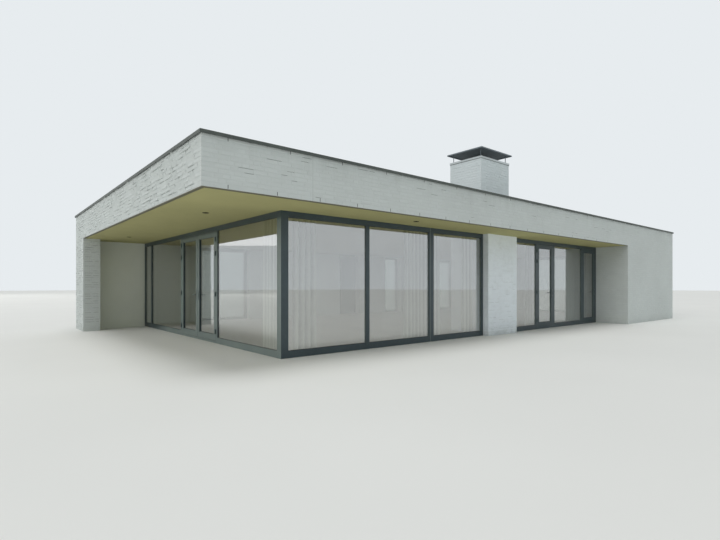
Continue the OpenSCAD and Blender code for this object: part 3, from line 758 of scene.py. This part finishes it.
class BEACHHOUSE_OT_bricks(bpy.types.Operator):
    """Lay the raised bricks of every outer face, the pier and the chimney"""

    bl_idname = "beach_house.bricks"
    bl_label = "Lay bricks"
    # Distance of the front's sealed joint from the corner, and half the width of the two sealed joints
    seam, seam_half, corner_seam_half = 1.7, 0.004, 0.006
    # Half a weep slot, the first one's distance, and how many times farther apart the upper ones are
    slot_half, first_slot, slots_above = 0.0045, 0.357, 1.29
    # Courses with weep slots, over the steel angle and under the coping
    angle_course, coping_course = 40, 50
    # Room left over the last course, and the length of the front that has painted shadow lines in its bed
    # joints
    below_coping, below_soffit, open_front = 0.004, 0.002, 12.7

    def execute(self, context):
        front, left = self.outer_faces()
        self.porch_walls()
        self.pier()
        self.chimney()
        self.weep_slots(front, left)
        self.bed_shadows()
        self.movement_joints()
        return {"FINISHED"}

    def sealed_gap(self, place, half):
        """The gap in the fascia's bricks at a sealed joint."""
        return (place - half, place + half, fascia_low - past, above_walls)

    def outer_faces(self):
        """The four outer faces. The first two are given back, because they have weep slots."""
        length, depth, return_run = x_right - x_left, y_back - y_front, y_back - y_return
        top, holes = wall_top - self.below_coping, rear_holes()
        front = Bricks(11, 1.0, 1.3)
        front.weeps = self.weep_places(x_block - x_left)
        gaps = [(-past, x_block - x_left, -past, fascia_low), self.sealed_gap(self.seam, self.seam_half)]
        front.face((x_left, y_front), (1, 0), (0, -1), length, 0.0, top, gaps, 1)
        front.build("front_bricks")
        left = Bricks(12, 2.2, 14.0)
        left.weeps = self.weep_places(y_return - y_front, return_run)
        seam = self.sealed_gap(return_run, self.corner_seam_half)
        gaps = [(return_run, depth + past, -past, fascia_low), seam]
        left.face((x_left, y_back), (0, -1), (-1, 0), depth, 0.0, top, gaps)
        left.build("porch_side_bricks")
        back = Bricks(13, 1.4)
        back.face((x_right, y_back), (-1, 0), (0, 1), length, 0.0, top, holes["back"], 1)
        back.build("back_bricks")
        right = Bricks(14, 1.6)
        right.face((x_right, y_front), (0, 1), (1, 0), depth, 0.0, top, holes["end"])
        right.build("right_end_bricks")
        return front, left

    def porch_walls(self):
        """The front of the return wall and the side of the front block, under the soffit."""
        walls, top = Bricks(15, 1.3), soffit_height - self.below_soffit
        walls.face((x_left, y_return), (1, 0), (0, -1), return_thick, 0.0, top, (), 0, (True, False))
        reveal = y_glass - y_front
        walls.face((x_block, y_glass), (0, -1), (-1, 0), reveal, 0.0, top, (), 1, (False, True))
        walls.build("porch_wall_bricks")

    def pier(self):
        """The front of the pier and the two sides that stand proud of the glass."""
        pier, top = Bricks(16, 0.9, 0.35), soffit_height - self.below_soffit
        width, proud = pier_high.x - pier_low.x, y_glass - pier_low.y
        pier.face((pier_low.x, pier_low.y), (1, 0), (0, -1), width, 0.0, top)
        pier.face((pier_low.x, y_glass), (0, -1), (-1, 0), proud, 0.0, top, (), 1, (False, True))
        pier.face((pier_high.x, pier_low.y), (0, 1), (1, 0), proud, 0.0, top, (), 1, (True, False))
        values = settings("brickwork")
        # painted light: the pier's bricks take its paler lit paint
        pier.build("pier_bricks", "pier bricks", values.pier_lit_paint, values.pier_dirt)

    def chimney(self):
        """The four sides of the chimney, from above its apron to the crown."""
        stack = Bricks(17, 1.5, 3.0)
        low, high = stack_low, stack_high
        width, depth = high.x - low.x, high.y - low.y
        for origin, along, out, run, odd in (
            ((low.x, low.y), (1, 0), (0, -1), width, 0), ((high.x, low.y), (0, 1), (1, 0), depth, 1),
            ((high.x, high.y), (-1, 0), (0, 1), width, 0), ((low.x, high.y), (0, -1), (-1, 0), depth, 1),
        ):
            stack.face(origin, along, out, run, deck_top + 0.16, high.z - 0.001, (), odd)
        values = settings("brickwork")
        stack.build("chimney_bricks", "chimney bricks", values.stack_paint, values.stack_dirt)

    def weep_places(self, run, start=0.0):
        """Distances along a face of the open upright joints, by course."""
        step, first, reach = settings("brickwork").weep_spacing, start + self.first_slot, run - 0.5
        low = [first + n * step for n in range(int(reach / step))]
        high = [first + n * self.slots_above * step for n in range(int(reach / step / self.slots_above))]
        return {self.angle_course: low, self.coping_course: high}

    def weep_slots(self, front, left):
        """Open upright joints over the steel angle and under the coping, as dark boxes of painted shade.
        """
        values, half = settings("brickwork"), self.slot_half
        points, faces = [], []
        for bricks in (front, left):
            for course, places in bricks.weeps.items():
                low, high = course * values.course + 0.003, (course + 1) * values.course - 0.006
                for u in places:
                    if bricks is front:
                        x, y = x_left + u, y_front
                        a, b = (x - half, y - 0.001), (x + half, y + 0.002)
                    else:
                        x, y = x_left, y_back - u
                        a, b = (x - 0.001, y - half), (x + 0.002, y + half)
                    add_box(points, faces, (*a, low), (*b, high))
        dark = plain_finish("weep slot shade", values.weep_shade, 0.95, 60.0, 200.0, 0.001)
        piece("weep_slots", points, faces, dark, "house", "brick")

    def bed_shadows(self):
        """Painted shadow: short dark lengths of bed joint, here and there on the seen faces, standing in
        for the shade under prouder bricks.
        """
        dark, faint, pale = (
            plain_finish(name, colour(*shade), 0.95, 60.0, 200.0, 0.001)
            for name, shade in (
                ("dark painted bed shadow", (116, 121, 120)), ("faint painted bed shadow", (150, 156, 153)),
                ("pale painted bed shadow", (188, 195, 196)),
            )
        )
        chance = random.Random(31)
        corner, back_wing = (x_left, y_front), (x_left, y_return)
        pier, pier_width = (pier_low.x, pier_low.y), pier_high.x - pier_low.x
        porch_run, return_run = y_return - y_front, y_back - y_return
        for name, finish, start, faces_front, run, courses, share, thick, proud in (
            ("front_bed_shadows", dark, corner, True, self.open_front, (41, 51), 0.055, 0.0021, 0.0016),
            ("side_bed_shadows", faint, corner, False, porch_run, (41, 51), 0.2, 0.003, 0.0026),
            ("return_side_bed_shadows", faint, back_wing, False, return_run, (1, 51), 0.3, 0.003, 0.0026),
            ("return_front_bed_shadows", faint, back_wing, True, return_thick, (2, 39), 0.55, 0.003, 0.0022),
            ("pier_bed_shadows", pale, pier, True, pier_width, (1, 22), 0.28, 0.0022, 0.0012),
        ):
            points, faces = [], []
            for course in range(*courses):
                z = course * settings("brickwork").course
                for u, length in self.bed_shadow_stretches(chance, run, share):
                    ends = ((u, -proud), (u + length, 0.002))
                    low, high = ends if faces_front else (end[::-1] for end in ends)
                    add_box(
                        points, faces, (start[0] + low[0], start[1] + low[1], z - thick),
                        (start[0] + high[0], start[1] + high[1], z + thick),
                    )
            piece(name, points, faces, finish, "house", "brick")

    def bed_shadow_stretches(self, chance, run, share):
        """Where one bed joint gets painted shadow, as start and length. The first 3 m of a long face have
        more.
        """
        margin, u = 0.04, 0.04 if run < 2 else 0.25
        while u < run - 2 * margin:
            length = min(chance.uniform(0.09, 0.24), run - margin - u)
            if chance.random() < share * (1.6 if u < 3 < run else 1.0):
                yield u, length
            u += length + 0.05

    def movement_joints(self):
        """Sealed joints that part the long front and the porch side."""
        points, faces = [], []
        x, y, half, wide = x_left + self.seam, y_return, self.seam_half, self.corner_seam_half
        for low, high in (
            ((x - half, y_front - 0.0004), (x + half, y_front + 0.002)),
            ((x_left - 0.0006, y - wide), (x_left + 0.002, y + wide)),
        ):
            add_box(points, faces, (*low, fascia_low), (*high, wall_top))
        shade = settings("brickwork").sealant
        sealant = plain_finish("joint sealant", shade, 0.8, 30.0, 160.0, 0.0006)
        piece("movement_joints", points, faces, sealant, "house", "brick")


class BEACHHOUSE_OT_frames(bpy.types.Operator):
    """Coat the window frames, doors and steel angle, and add gaskets and sealing tape"""

    bl_idname = "beach_house.frames"
    bl_label = "Finish frames"

    def execute(self, context):
        values = settings("frames")
        coat = coated_finish("powder coat", values.coat, values.roughness, painted_sheen=values.painted_sheen)
        dress(
            coat, "corner_post", "front_window_frames", "side_window_frames", "door_surrounds",
            "near_garden_door", "far_garden_door", "bedroom_door_a", "bedroom_door_b",
            "rear_window_frames", "entrance_door",
        )
        dress(coated_finish("steel angle", values.angle, 0.6, worn=0.1), "fascia_lintels")
        self.angle_paint()
        rubber = plain_finish("rubber", values.rubber, 0.75, 80.0, 400.0, 0.0004)
        bodies = {
            "front_glass": "house", "side_glass": "house", "rear_glass": "house",
            "near_garden_glass": "near_garden_leaf", "far_garden_glass": "far_garden_leaf",
            "bedroom_glass_a": "bedroom_leaf_a", "bedroom_glass_b": "bedroom_leaf_b",
        }
        for name, body in bodies.items():
            points, faces = [], []
            for low, high in islands(name):
                self.gasket(points, faces, low, high, values.gasket)
            piece(name.replace("glass", "gaskets"), points, faces, rubber, body, "frame_metal")
        self.element_seal(values)
        return {"FINISHED"}

    def angle_paint(self):
        """The soffit's paint, which laps over the inner half of the steel angle, in the soffit's colour
        with its painted bounce light.
        """
        angle_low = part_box("fascia_lintels")[0].z
        bottom, top, near, far = angle_low - 0.0012, angle_low + 0.0005, 0.055, 0.11
        points, faces = [], []
        for low, high in (
            ((x_left + near, y_front + near), (x_left + far, y_return)),
            ((x_left + far, y_front + near), (x_block, y_front + far)),
        ):
            add_box(points, faces, (*low, bottom), (*high, top))
        shade = settings("porch").soffit
        paint = plain_finish("lapped soffit paint", shade, 0.8, 60.0, 260.0, 0.0006, 0.03)
        piece("angle_paint", points, faces, paint, "house", "soffit_plaster")

    def element_seal(self, values):
        """Pale sealing tape in the joint between the two window elements of the lounge front."""
        spans = [(low.x, high.x) for low, high in islands("front_window_frames")]
        first_end = max(high for low, high in spans if high < pier_low.x - 0.5)
        next_start = min(low for low, high in spans if low > first_end)
        points, faces, room = [], [], 0.0003
        add_box(
            points, faces, (first_end + room, y_glass + 0.0015, 0.001),
            (next_start - room, y_glass + 0.02, soffit_height - 0.001),
        )
        tape = plain_finish("sealing tape", values.tape, 0.7, 40.0, 300.0, 0.0003)
        piece("element_seal", points, faces, tape, "house", "frame_metal")

    def gasket(self, points, faces, low, high, width):
        """Rings of rubber on both sides of a pane, just inside its beads."""
        thin = 0 if high.x - low.x < high.y - low.y else 1
        wide = 1 - thin
        edge, proud, sunk = 0.0122, 0.0022, 0.0004
        first, last = low[wide] + edge, high[wide] - edge
        bottom, top = low.z + edge, high.z - edge
        for side in (low[thin] - proud, high[thin] - sunk):
            for start, end, foot, head in (
                (first, first + width, bottom, top), (last - width, last, bottom, top),
                (first + width, last - width, bottom, bottom + width),
                (first + width, last - width, top - width, top),
            ):
                corner, other = [0, 0, foot], [0, 0, head]
                corner[wide], other[wide] = start, end
                corner[thin], other[thin] = side, side + proud + sunk
                add_box(points, faces, corner, other)


class BEACHHOUSE_OT_glass(bpy.types.Operator):
    """Glaze the windows and doors"""

    bl_idname = "beach_house.glass"
    bl_label = "Glaze"
    coated_index, plain_index = 3.3, 1.52

    def execute(self, context):
        values = settings("glass")
        dress(
            self.glazing("window glass", values.tint, self.coated_index, values.ripple),
            "front_glass", "side_glass", "near_garden_glass", "far_garden_glass",
            "bedroom_glass_a", "bedroom_glass_b",
        )
        rear = self.glazing("rear window glass", values.rear_tint, self.plain_index, values.ripple)
        dress(rear, "rear_glass")
        return {"FINISHED"}

    def glazing(self, name, tint, index, ripple):
        """Glass that is clear for daylight; a coated pane has a high index and mirrors strongly."""
        made, tree, inputs, place = new_finish(name, 0.0, 0.0, 1.0)
        inputs["IOR"].default_value = index
        inputs["Transmission Weight"].default_value = 1.0
        smears = noise(tree, stretched(tree, place, (1.0, 1.0, 0.5)), 2.2, 3.0)
        shade = spread(tree, smears, 0.35, 0.7, 0.97, 1.0)
        feed(tree, inputs["Base Color"], tinted(tree, tuple(tint), shade))
        feed(tree, inputs["Roughness"], spread(tree, smears, 0.3, 0.8, 0.0, 0.03))
        bumped(tree, inputs, noise(tree, place, 0.8, 1.0), ripple, 0.01)
        clear = tree.nodes.new("ShaderNodeBsdfTransparent")
        clear.inputs["Color"].default_value = (0.96, 0.98, 0.97, 1.0)
        path = tree.nodes.new("ShaderNodeLightPath")
        mix = tree.nodes.new("ShaderNodeMixShader")
        feed(tree, mix.inputs[0], path.outputs["Is Shadow Ray"])
        feed(tree, mix.inputs[1], tree.nodes["Principled BSDF"].outputs[0])
        feed(tree, mix.inputs[2], clear.outputs[0])
        feed(tree, tree.nodes["Material Output"].inputs["Surface"], mix.outputs[0])
        return made


class BEACHHOUSE_OT_hardware(bpy.types.Operator):
    """Fit the lock roses on the handle plates of the hinged leaves"""

    bl_idname = "beach_house.hardware"
    bl_label = "Fit hardware"
    half_stile = 0.0525
    # Depth of each handle plate's face behind the glazing line, with the side that it looks to
    plate_faces = ((-0.006, -1), (0.076, 1))
    heights = (0.945, 1.105)
    # Radius and rise of each ring of a rose
    rose_profile = ((0.0125, 0.0), (0.0125, 0.003), (0.0095, 0.0045), (0.004, 0.0045), (0.0, 0.0038))
    rose_sides = 20

    def execute(self, context):
        steel = coated_finish("dull steel", settings("frames").steel, 0.35, 1.0)
        for name, body, wide, lock_at_end in (
            ("near_garden_door", "near_garden_leaf", 1, True),
            ("far_garden_door", "far_garden_leaf", 1, False),
            ("bedroom_door_a", "bedroom_leaf_a", 0, True),
            ("bedroom_door_b", "bedroom_leaf_b", 0, True),
        ):
            low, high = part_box(name)
            stile = high[wide] - self.half_stile if lock_at_end else low[wide] + self.half_stile
            face = x_glass if wide else y_glass
            points, faces = [], []
            for depth, outward in self.plate_faces:
                for height in self.heights:
                    self.rose(points, faces, wide, stile, face + depth, outward, height)
            piece(name.replace("door", "lock"), points, faces, steel, body, "frame_metal")
        return {"FINISHED"}

    def rose(self, points, faces, wide, stile, depth, outward, height):
        """A small turned rose with a domed centre, standing on a handle plate."""
        start, sides = len(points), self.rose_sides
        for radius, rise in self.rose_profile:
            for step in range(sides):
                angle = 2 * math.pi * step / sides
                point = [0.0, 0.0, height + radius * math.sin(angle)]
                point[wide] = stile + radius * math.cos(angle)
                point[1 - wide] = depth + outward * rise
                points.append(tuple(point))
        join_rings(faces, start, len(self.rose_profile), sides)


class BEACHHOUSE_OT_roof(bpy.types.Operator):
    """Finish the coping and lay the strips of roofing sheet"""

    bl_idname = "beach_house.roof"
    bl_label = "Finish roof"
    # Distance of the laps from the roof's edge, their width and their distance from the chimney
    inner, overlap, off_stack = 0.26, 0.1, 0.02
    # How far each edge of the apron stands off the chimney, and its height above the roof
    apron_profile = ((0.07, 0.0), (0.012, 0.06), (0.008, 0.15), (0.0, 0.152))

    def execute(self, context):
        values = settings("roof")
        metal = coated_finish("coping metal", values.coping, 0.62, 0.1, values.coping_length, 0.12)
        dress(metal, "coping")
        sheet = plain_finish("roofing sheet", values.sheet, 0.92, 90.0, 500.0, 0.002, 0.16)
        dress(sheet, "roof_membrane")
        low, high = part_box("roof_membrane")
        first, last, end_y = low.x + self.inner, high.x - self.inner, high.y - self.inner
        top = deck_top + 0.008
        points, faces = [], []
        y = low.y + self.inner
        while y < end_y - self.overlap:
            edge = min(y + self.overlap, end_y)
            spans = [(first, last)]
            if y < stack_high.y + self.off_stack and edge > stack_low.y - self.off_stack:
                spans = [(first, stack_low.x - self.off_stack), (stack_high.x + self.off_stack, last)]
            for start, end in spans:
                self.lap(points, faces, start, end, y, edge, top)
            y += values.sheet_width - self.overlap
        piece("sheet_laps", points, faces, sheet, "house", "bitumen")
        self.apron(sheet, top)
        return {"FINISHED"}

    def lap(self, points, faces, start, end, near, far, top):
        """The overlap of two strips: a low ridge that falls away to one side."""
        faces.extend(numbered(
            ((0, 4, 5, 1), (1, 5, 6, 2), (2, 6, 7, 3), (0, 1, 2, 3), (4, 7, 6, 5)), len(points)
        ))
        section = ((near, -0.001), (near + 0.004, 0.0035), (far, 0.0006), (far, -0.001))
        points.extend((x, y, top + rise) for x in (start, end) for y, rise in section)

    def apron(self, sheet, top):
        """Sheet dressed up the foot of the chimney on a fillet."""
        points, faces = [], []
        for out, rise in self.apron_profile:
            low, high = (stack_low.x - out, stack_low.y - out), (stack_high.x + out, stack_high.y + out)
            points.extend(outline(low, high, top + rise))
        join_rings(faces, 0, len(self.apron_profile), 4)
        piece("chimney_apron", points, faces, sheet, "house", "bitumen")


class BEACHHOUSE_OT_chimney(bpy.types.Operator):
    """Finish the chimney's crown, flue, legs and cap"""

    bl_idname = "beach_house.chimney"
    bl_label = "Finish chimney"

    def execute(self, context):
        values = settings("roof")
        dress(plain_finish("mortar crown", values.crown, 0.9, 20.0, 140.0, 0.002, 0.1), "chimney_crown")
        dress(plain_finish("fired clay", values.clay, 0.8, 14.0, 120.0, 0.001, 0.12), "flue_liner")
        dress(coated_finish("cap metal", values.cap, 0.5, 0.1, None, 0.12), "cap_legs", "chimney_cap")
        self.shadow_under_crown(values)
        return {"FINISHED"}

    def shadow_under_crown(self, values):
        """A grey strip that stands out under the crown on all four sides: painted shadow under the crown's
        overhang.
        """
        points, faces = [], []
        low, high, out, deep = stack_low, stack_high, 0.0095, 0.012
        top = high.z - 0.0003
        for a, b in (
            ((low.x - out, low.y - out), (high.x + out, low.y)),
            ((low.x - out, high.y), (high.x + out, high.y + out)),
            ((low.x - out, low.y), (low.x, high.y)), ((high.x, low.y), (high.x + out, high.y)),
        ):
            add_box(points, faces, (*a, top - deep), (*b, top))
        crown_shadow = plain_finish("painted crown shadow", values.crown_shadow, 0.7, 20.0, 120.0, 0.001)
        piece("crown_shadow_strip", points, faces, crown_shadow, "house", "crown_mortar")


class BEACHHOUSE_OT_porch(bpy.types.Operator):
    """Finish the soffit, ceiling, lamps and indoor floor"""

    bl_idname = "beach_house.porch"
    bl_label = "Finish porch and rooms"

    def execute(self, context):
        values = settings("porch")
        self.soffit(values)
        dress(plain_finish("ceiling plaster", values.ceiling, 0.85, 40.0, 240.0, 0.0008, 0.03), "ceiling")
        dress(coated_finish("lamp black", values.lamp, 0.8), "downlights")
        self.tiles(values)
        self.plaster(values)
        return {"FINISHED"}

    def plaster(self, values):
        """Smooth render coat on the porch's end wall and on the inside of the return wall."""
        points, faces = [], []
        inner, y_end, coat_depth = x_left + return_thick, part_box("back_wall")[0].y, 0.003
        for low, high in (
            ((inner, y_end - coat_depth), (x_glass, y_end + 0.001)),
            ((inner - 0.001, y_return + 0.002), (inner + coat_depth, y_end - coat_depth)),
        ):
            add_box(points, faces, (*low, 0.0), (*high, soffit_height))
        coat = plain_finish("porch plaster", values.plaster, 0.85, 22.0, 180.0, 0.0015, 0.04)
        piece("porch_plaster", points, faces, coat, "house", "soffit_plaster")

    def soffit(self, values):
        """Painted boards with faint joints along the house; their yellow colour is painted bounce light.
        """
        made, tree, inputs, place = new_finish("soffit plaster", 0.0, 0.8, 0.35)
        lines = group_node(tree, "Joint lines", Vector=place, Spacing=values.board_width, Width=0.003)
        line = sums(tree, "MULTIPLY", lines["Across Y"], 0.18)
        paint = tinted(tree, tuple(values.soffit), clouded(tree, place, 0.7, 4.0, 0.93, 1.05, 0.6))
        paint = blend(tree, line, paint, (0.12, 0.11, 0.06, 1.0))
        grain = group_node(tree, "Grain", Vector=place, Coarse=60.0, Fine=260.0, Balance=0.5)
        feed(tree, inputs["Base Color"], paint)
        feed(tree, inputs["Roughness"], between(tree, grain["Speckle"], 0.74, 0.9))
        bumped(tree, inputs, grain["Height"], 0.35, 0.001)
        dress(made, "soffit")

    def tiles(self, values):
        """Square floor tiles, each with its own slight tone."""
        made, tree, inputs, place = new_finish("floor tiles", 0.0, 0.35, 0.5)
        lines = group_node(tree, "Joint lines", Vector=place, Spacing=values.tile_size, Width=0.005)
        line = sums(tree, "MAXIMUM", lines["Across X"], lines["Across Y"])
        paint = tinted(tree, tuple(values.tile), between(tree, lines["Cell"], 0.93, 1.06))
        paint = tinted(tree, paint, clouded(tree, place, 3.5, 5.0, 0.92, 1.07, 0.65))
        feed(tree, inputs["Base Color"], blend(tree, line, paint, tuple(values.grout)))
        feed(tree, inputs["Roughness"], between(tree, line, 0.34, 0.85))
        grain = group_node(tree, "Grain", Vector=place, Coarse=20.0, Fine=180.0, Balance=0.4)
        height = sums(tree, "SUBTRACT", sums(tree, "MULTIPLY", grain["Height"], 0.2), line)
        bumped(tree, inputs, height, 0.4, 0.0015)
        dress(made, "floor_slab")


class BEACHHOUSE_OT_curtains(bpy.types.Operator):
    """Hang the gathered curtains in the place of their plain solids"""

    bl_idname = "beach_house.curtains"
    bl_label = "Hang curtains"

    def execute(self, context):
        values = settings("curtains")
        sheer = self.cloth("sheer cloth", values.sheer, values.veil, 1900.0)
        lined = self.cloth("lined cloth", values.lining, 1.0, 1400.0)
        dress(coated_finish("rail white", values.rail, 0.4), "curtain_rails")
        for node, material, slot in (
            ("lounge_curtains", sheer, "curtain_sheer"), ("bedroom_curtains", lined, "curtain_grey")
        ):
            for number, (low, high) in enumerate(islands(node)):
                name = node[:-1] + "_" + "abcd"[number]
                made = self.curtain(name, low, high, values.pitch, number + len(node), material, slot)
                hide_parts(node)
        return {"FINISHED"}

    def cloth(self, name, shade, cover, threads):
        """Woven cloth with painted shade in the valleys of its folds, see-through where cover is under 1.
        """
        made, tree, inputs, place = new_finish(name, 0.0, 0.85, 0.2)
        inputs["Sheen Weight"].default_value = 0.25
        inputs["Sheen Roughness"].default_value = 0.5
        woven = group_node(tree, "Weave", Vector=place, Threads=threads, Slub=0.12)
        # painted shade: the cloth darkens with how deep in a fold a point lies
        painted_fold_shade = between(tree, tone_of(tree), 0.45, 1.0)
        lit = tinted(tree, tuple(shade), woven["Shade"])
        feed(tree, inputs["Base Color"], tinted(tree, lit, painted_fold_shade))
        if cover < 1.0:
            dense = min(1.0, cover + 0.08)
            feed(tree, inputs["Alpha"], between(tree, woven["Height"], cover - 0.08, dense))
        bumped(tree, inputs, woven["Height"], 0.3, 0.0006)
        return made

    def curtain(self, name, low, high, pitch, seed, material, slot):
        """One sheet in uneven upright folds, tighter at the heading than at the hem."""
        chance = random.Random(seed)
        wide = 0 if high.x - low.x > high.y - low.y else 1
        run, middle = high[wide] - low[wide], (low[1 - wide] + high[1 - wide]) / 2
        reach = (high[1 - wide] - low[1 - wide]) / 2
        folds = max(3, round(run / pitch))
        per_fold, rows = 14, 18
        columns = folds * per_fold
        swell = [chance.uniform(0.62, 1.0) for _ in range(folds + 2)]
        lean = [chance.uniform(-0.2, 0.2) for _ in range(folds + 2)]
        points, tones = [], []
        for row in range(rows + 1):
            rise = row / rows
            narrow = 0.72 + 0.26 * (1 - rise) ** 0.7
            for column in range(columns + 1):
                turn = column / per_fold
                place, part = int(turn), turn - int(turn)
                size = swell[place] * (1 - part) + swell[place + 1] * part
                slant = (lean[place] * (1 - part) + lean[place + 1] * part) * (1 - rise)
                wave = math.sin(2 * math.pi * (turn + 0.12 * slant))
                wave = math.copysign(abs(wave) ** 0.8, wave)
                side = math.sin(4 * math.pi * turn) * pitch * 0.09 * size
                fade = min(1.0, column / 4, (columns - column) / 4)
                along = low[wide] + run * column / columns + side * fade
                point = [0.0, 0.0, low.z + rise * (high.z - low.z)]
                point[wide] = min(high[wide], max(low[wide], along))
                point[1 - wide] = middle + reach * 0.98 * size * narrow * wave
                points.append(tuple(point))
                # painted shade: each point keeps how deep in a fold it lies, which darkens the cloth there
                tones.append(0.5 - 0.5 * wave)
        width = columns + 1
        corners = [row * width + column for row in range(rows) for column in range(columns)]
        faces = [(a, a + 1, a + width + 1, a + width) for a in corners]
        made = piece(name, points, faces, material, "house", slot, tones)
        made.data.shade_smooth()
        return made


class BEACHHOUSE_OT_studio(bpy.types.Operator):
    """Set the camera, the soft lamps, the floor and the backdrop"""

    bl_idname = "beach_house.studio"
    bl_label = "Set studio"

    def execute(self, context):
        values = settings("studio")
        scene = context.scene
        scene.view_settings.view_transform = "Standard"
        lens = bpy.data.cameras.new("photo_camera")
        lens.lens, lens.sensor_width, lens.shift_y = values.lens, 36.0, values.rise
        lens.clip_start, lens.clip_end = 0.1, 400.0
        camera = bpy.data.objects.new("photo_camera", lens)
        camera.location = values.camera
        camera.rotation_euler = (math.pi / 2, 0.0, values.heading)
        scene.collection.objects.link(camera)
        scene.camera = camera
        self.lamp("key_lamp", (-1.0, -0.2, 0.55), values.key, 40.0, (1.0, 0.995, 0.985))
        self.lamp("fill_lamp", (0.45, -1.0, 0.4), values.fill, 70.0, (0.84, 0.97, 1.0))
        self.lamp("top_lamp", (-0.05, -0.05, 1.0), values.top, 30.0, (1.0, 1.0, 1.0))
        beyond, porch = (-42.0, 42.0, 20.0), (-7.0, 0.0, 1.5)
        self.softbox("porch_softbox", beyond, porch, (84.0, 27.0), values.softbox, True)
        lounge = (-2.6, 0.4)
        under_ceiling = (*lounge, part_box("ceiling")[0].z - 0.02)
        self.softbox("room_softbox", under_ceiling, (*lounge, 0.0), (8.0, 6.5), values.room, False)
        self.floor(values)
        self.sky(values)
        return {"FINISHED"}

    def lamp(self, name, towards, strength, spread_angle, tint):
        """A soft far lamp that the panes don't mirror."""
        light = bpy.data.lights.new(name, "SUN")
        light.energy, light.angle, light.color = strength, math.radians(spread_angle), tint
        made = bpy.data.objects.new(name, light)
        made.rotation_euler = Vector(towards).to_track_quat("Z", "Y").to_euler()
        made.location = Vector(towards) * 20
        made.visible_glossy = False
        made.visible_transmission = False
        bpy.context.scene.collection.objects.link(made)

    def softbox(self, name, place, aim, size, level, mirrored):
        """A large even panel of light, which the panes mirror only where mirrored is true."""
        light = bpy.data.lights.new(name, "AREA")
        light.shape, light.size, light.size_y = "RECTANGLE", *size
        light.energy = level * math.pi * size[0] * size[1]
        light.color = (1.0, 0.99, 0.965)
        made = bpy.data.objects.new(name, light)
        made.location = place
        made.rotation_euler = (Vector(place) - Vector(aim)).to_track_quat("Z", "Y").to_euler()
        made.visible_camera = made.visible_transmission = False
        made.visible_glossy = mirrored
        bpy.context.scene.collection.objects.link(made)

    def floor(self, values):
        """A pale round floor that reaches past the edge of the picture."""
        mesh = bpy.data.meshes.new("studio_floor")
        sides, radius = 64, 120.0
        angles = [2 * math.pi * n / sides for n in range(sides)]
        rim = [(radius * math.cos(angle), radius * math.sin(angle), 0.0) for angle in angles]
        mesh.from_pydata(rim, [], [tuple(range(sides))])
        made, tree, inputs, place = new_finish("studio floor", 0.0, 0.9, 0.2)
        clouds = clouded(tree, place, 0.3, 2.0, 0.985, 1.015)
        feed(tree, inputs["Base Color"], tinted(tree, tuple(values.floor), clouds))
        mesh.materials.append(made)
        floor = bpy.data.objects.new("studio_floor", mesh)
        bpy.context.scene.collection.objects.link(floor)

    def sky(self, values):
        """Even light from all round, and a plain backdrop where the camera or a pane looks out."""
        world = bpy.data.worlds.new("studio")
        world.use_nodes = True
        bpy.context.scene.world = world
        tree = world.node_tree
        tree.nodes.clear()
        path = tree.nodes.new("ShaderNodeLightPath").outputs
        seen = sums(tree, "MAXIMUM", path["Is Camera Ray"], path["Is Glossy Ray"])
        lit, shown = (tree.nodes.new("ShaderNodeBackground") for _ in range(2))
        lit.inputs["Color"].default_value = (0.96, 0.985, 1.0, 1.0)
        lit.inputs["Strength"].default_value = values.ambient
        shown.inputs["Color"].default_value = tuple(values.backdrop)
        shown.inputs["Strength"].default_value = 1.0
        mix = tree.nodes.new("ShaderNodeMixShader")
        feed(tree, mix.inputs[0], seen)
        feed(tree, mix.inputs[1], lit.outputs[0])
        feed(tree, mix.inputs[2], shown.outputs[0])
        end = tree.nodes.new("ShaderNodeOutputWorld")
        feed(tree, end.inputs["Surface"], mix.outputs[0])


GROUPS = {
    "brickwork": BrickworkSettings, "frames": FrameSettings, "glass": GlassSettings,
    "roof": RoofSettings, "porch": PorchSettings, "curtains": CurtainSettings,
    "studio": StudioSettings,
}
STEPS = (
    BEACHHOUSE_OT_walls, BEACHHOUSE_OT_bricks, BEACHHOUSE_OT_frames, BEACHHOUSE_OT_glass,
    BEACHHOUSE_OT_hardware, BEACHHOUSE_OT_roof, BEACHHOUSE_OT_chimney, BEACHHOUSE_OT_porch,
    BEACHHOUSE_OT_curtains, BEACHHOUSE_OT_studio,
)


class BEACHHOUSE_PT_panel(bpy.types.Panel):
    """Lists the sizes and colours, and a button for each group of pieces"""

    bl_label = "Beach house"
    bl_idname = "BEACHHOUSE_PT_panel"
    bl_space_type = "VIEW_3D"
    bl_region_type = "UI"
    bl_category = "Beach house"

    def draw(self, context):
        for name, group in GROUPS.items():
            box = self.layout.box()
            box.label(text=group.__doc__)
            for label in group.__annotations__:
                box.prop(settings(name), label)
        for step in STEPS:
            self.layout.operator(step.bl_idname)


def register():
    for item in (*GROUPS.values(), *STEPS, BEACHHOUSE_PT_panel):
        bpy.utils.register_class(item)
    for name, group in GROUPS.items():
        setattr(bpy.types.Scene, "beach_house_" + name, bpy.props.PointerProperty(type=group))


def unregister():
    for name in GROUPS:
        delattr(bpy.types.Scene, "beach_house_" + name)
    for item in (BEACHHOUSE_PT_panel, *reversed(STEPS), *reversed(list(GROUPS.values()))):
        bpy.utils.unregister_class(item)


def main():
    register()
    for step in STEPS:
        family, action = step.bl_idname.split(".")
        getattr(getattr(bpy.ops, family), action)()


if __name__ == "__main__":
    main()
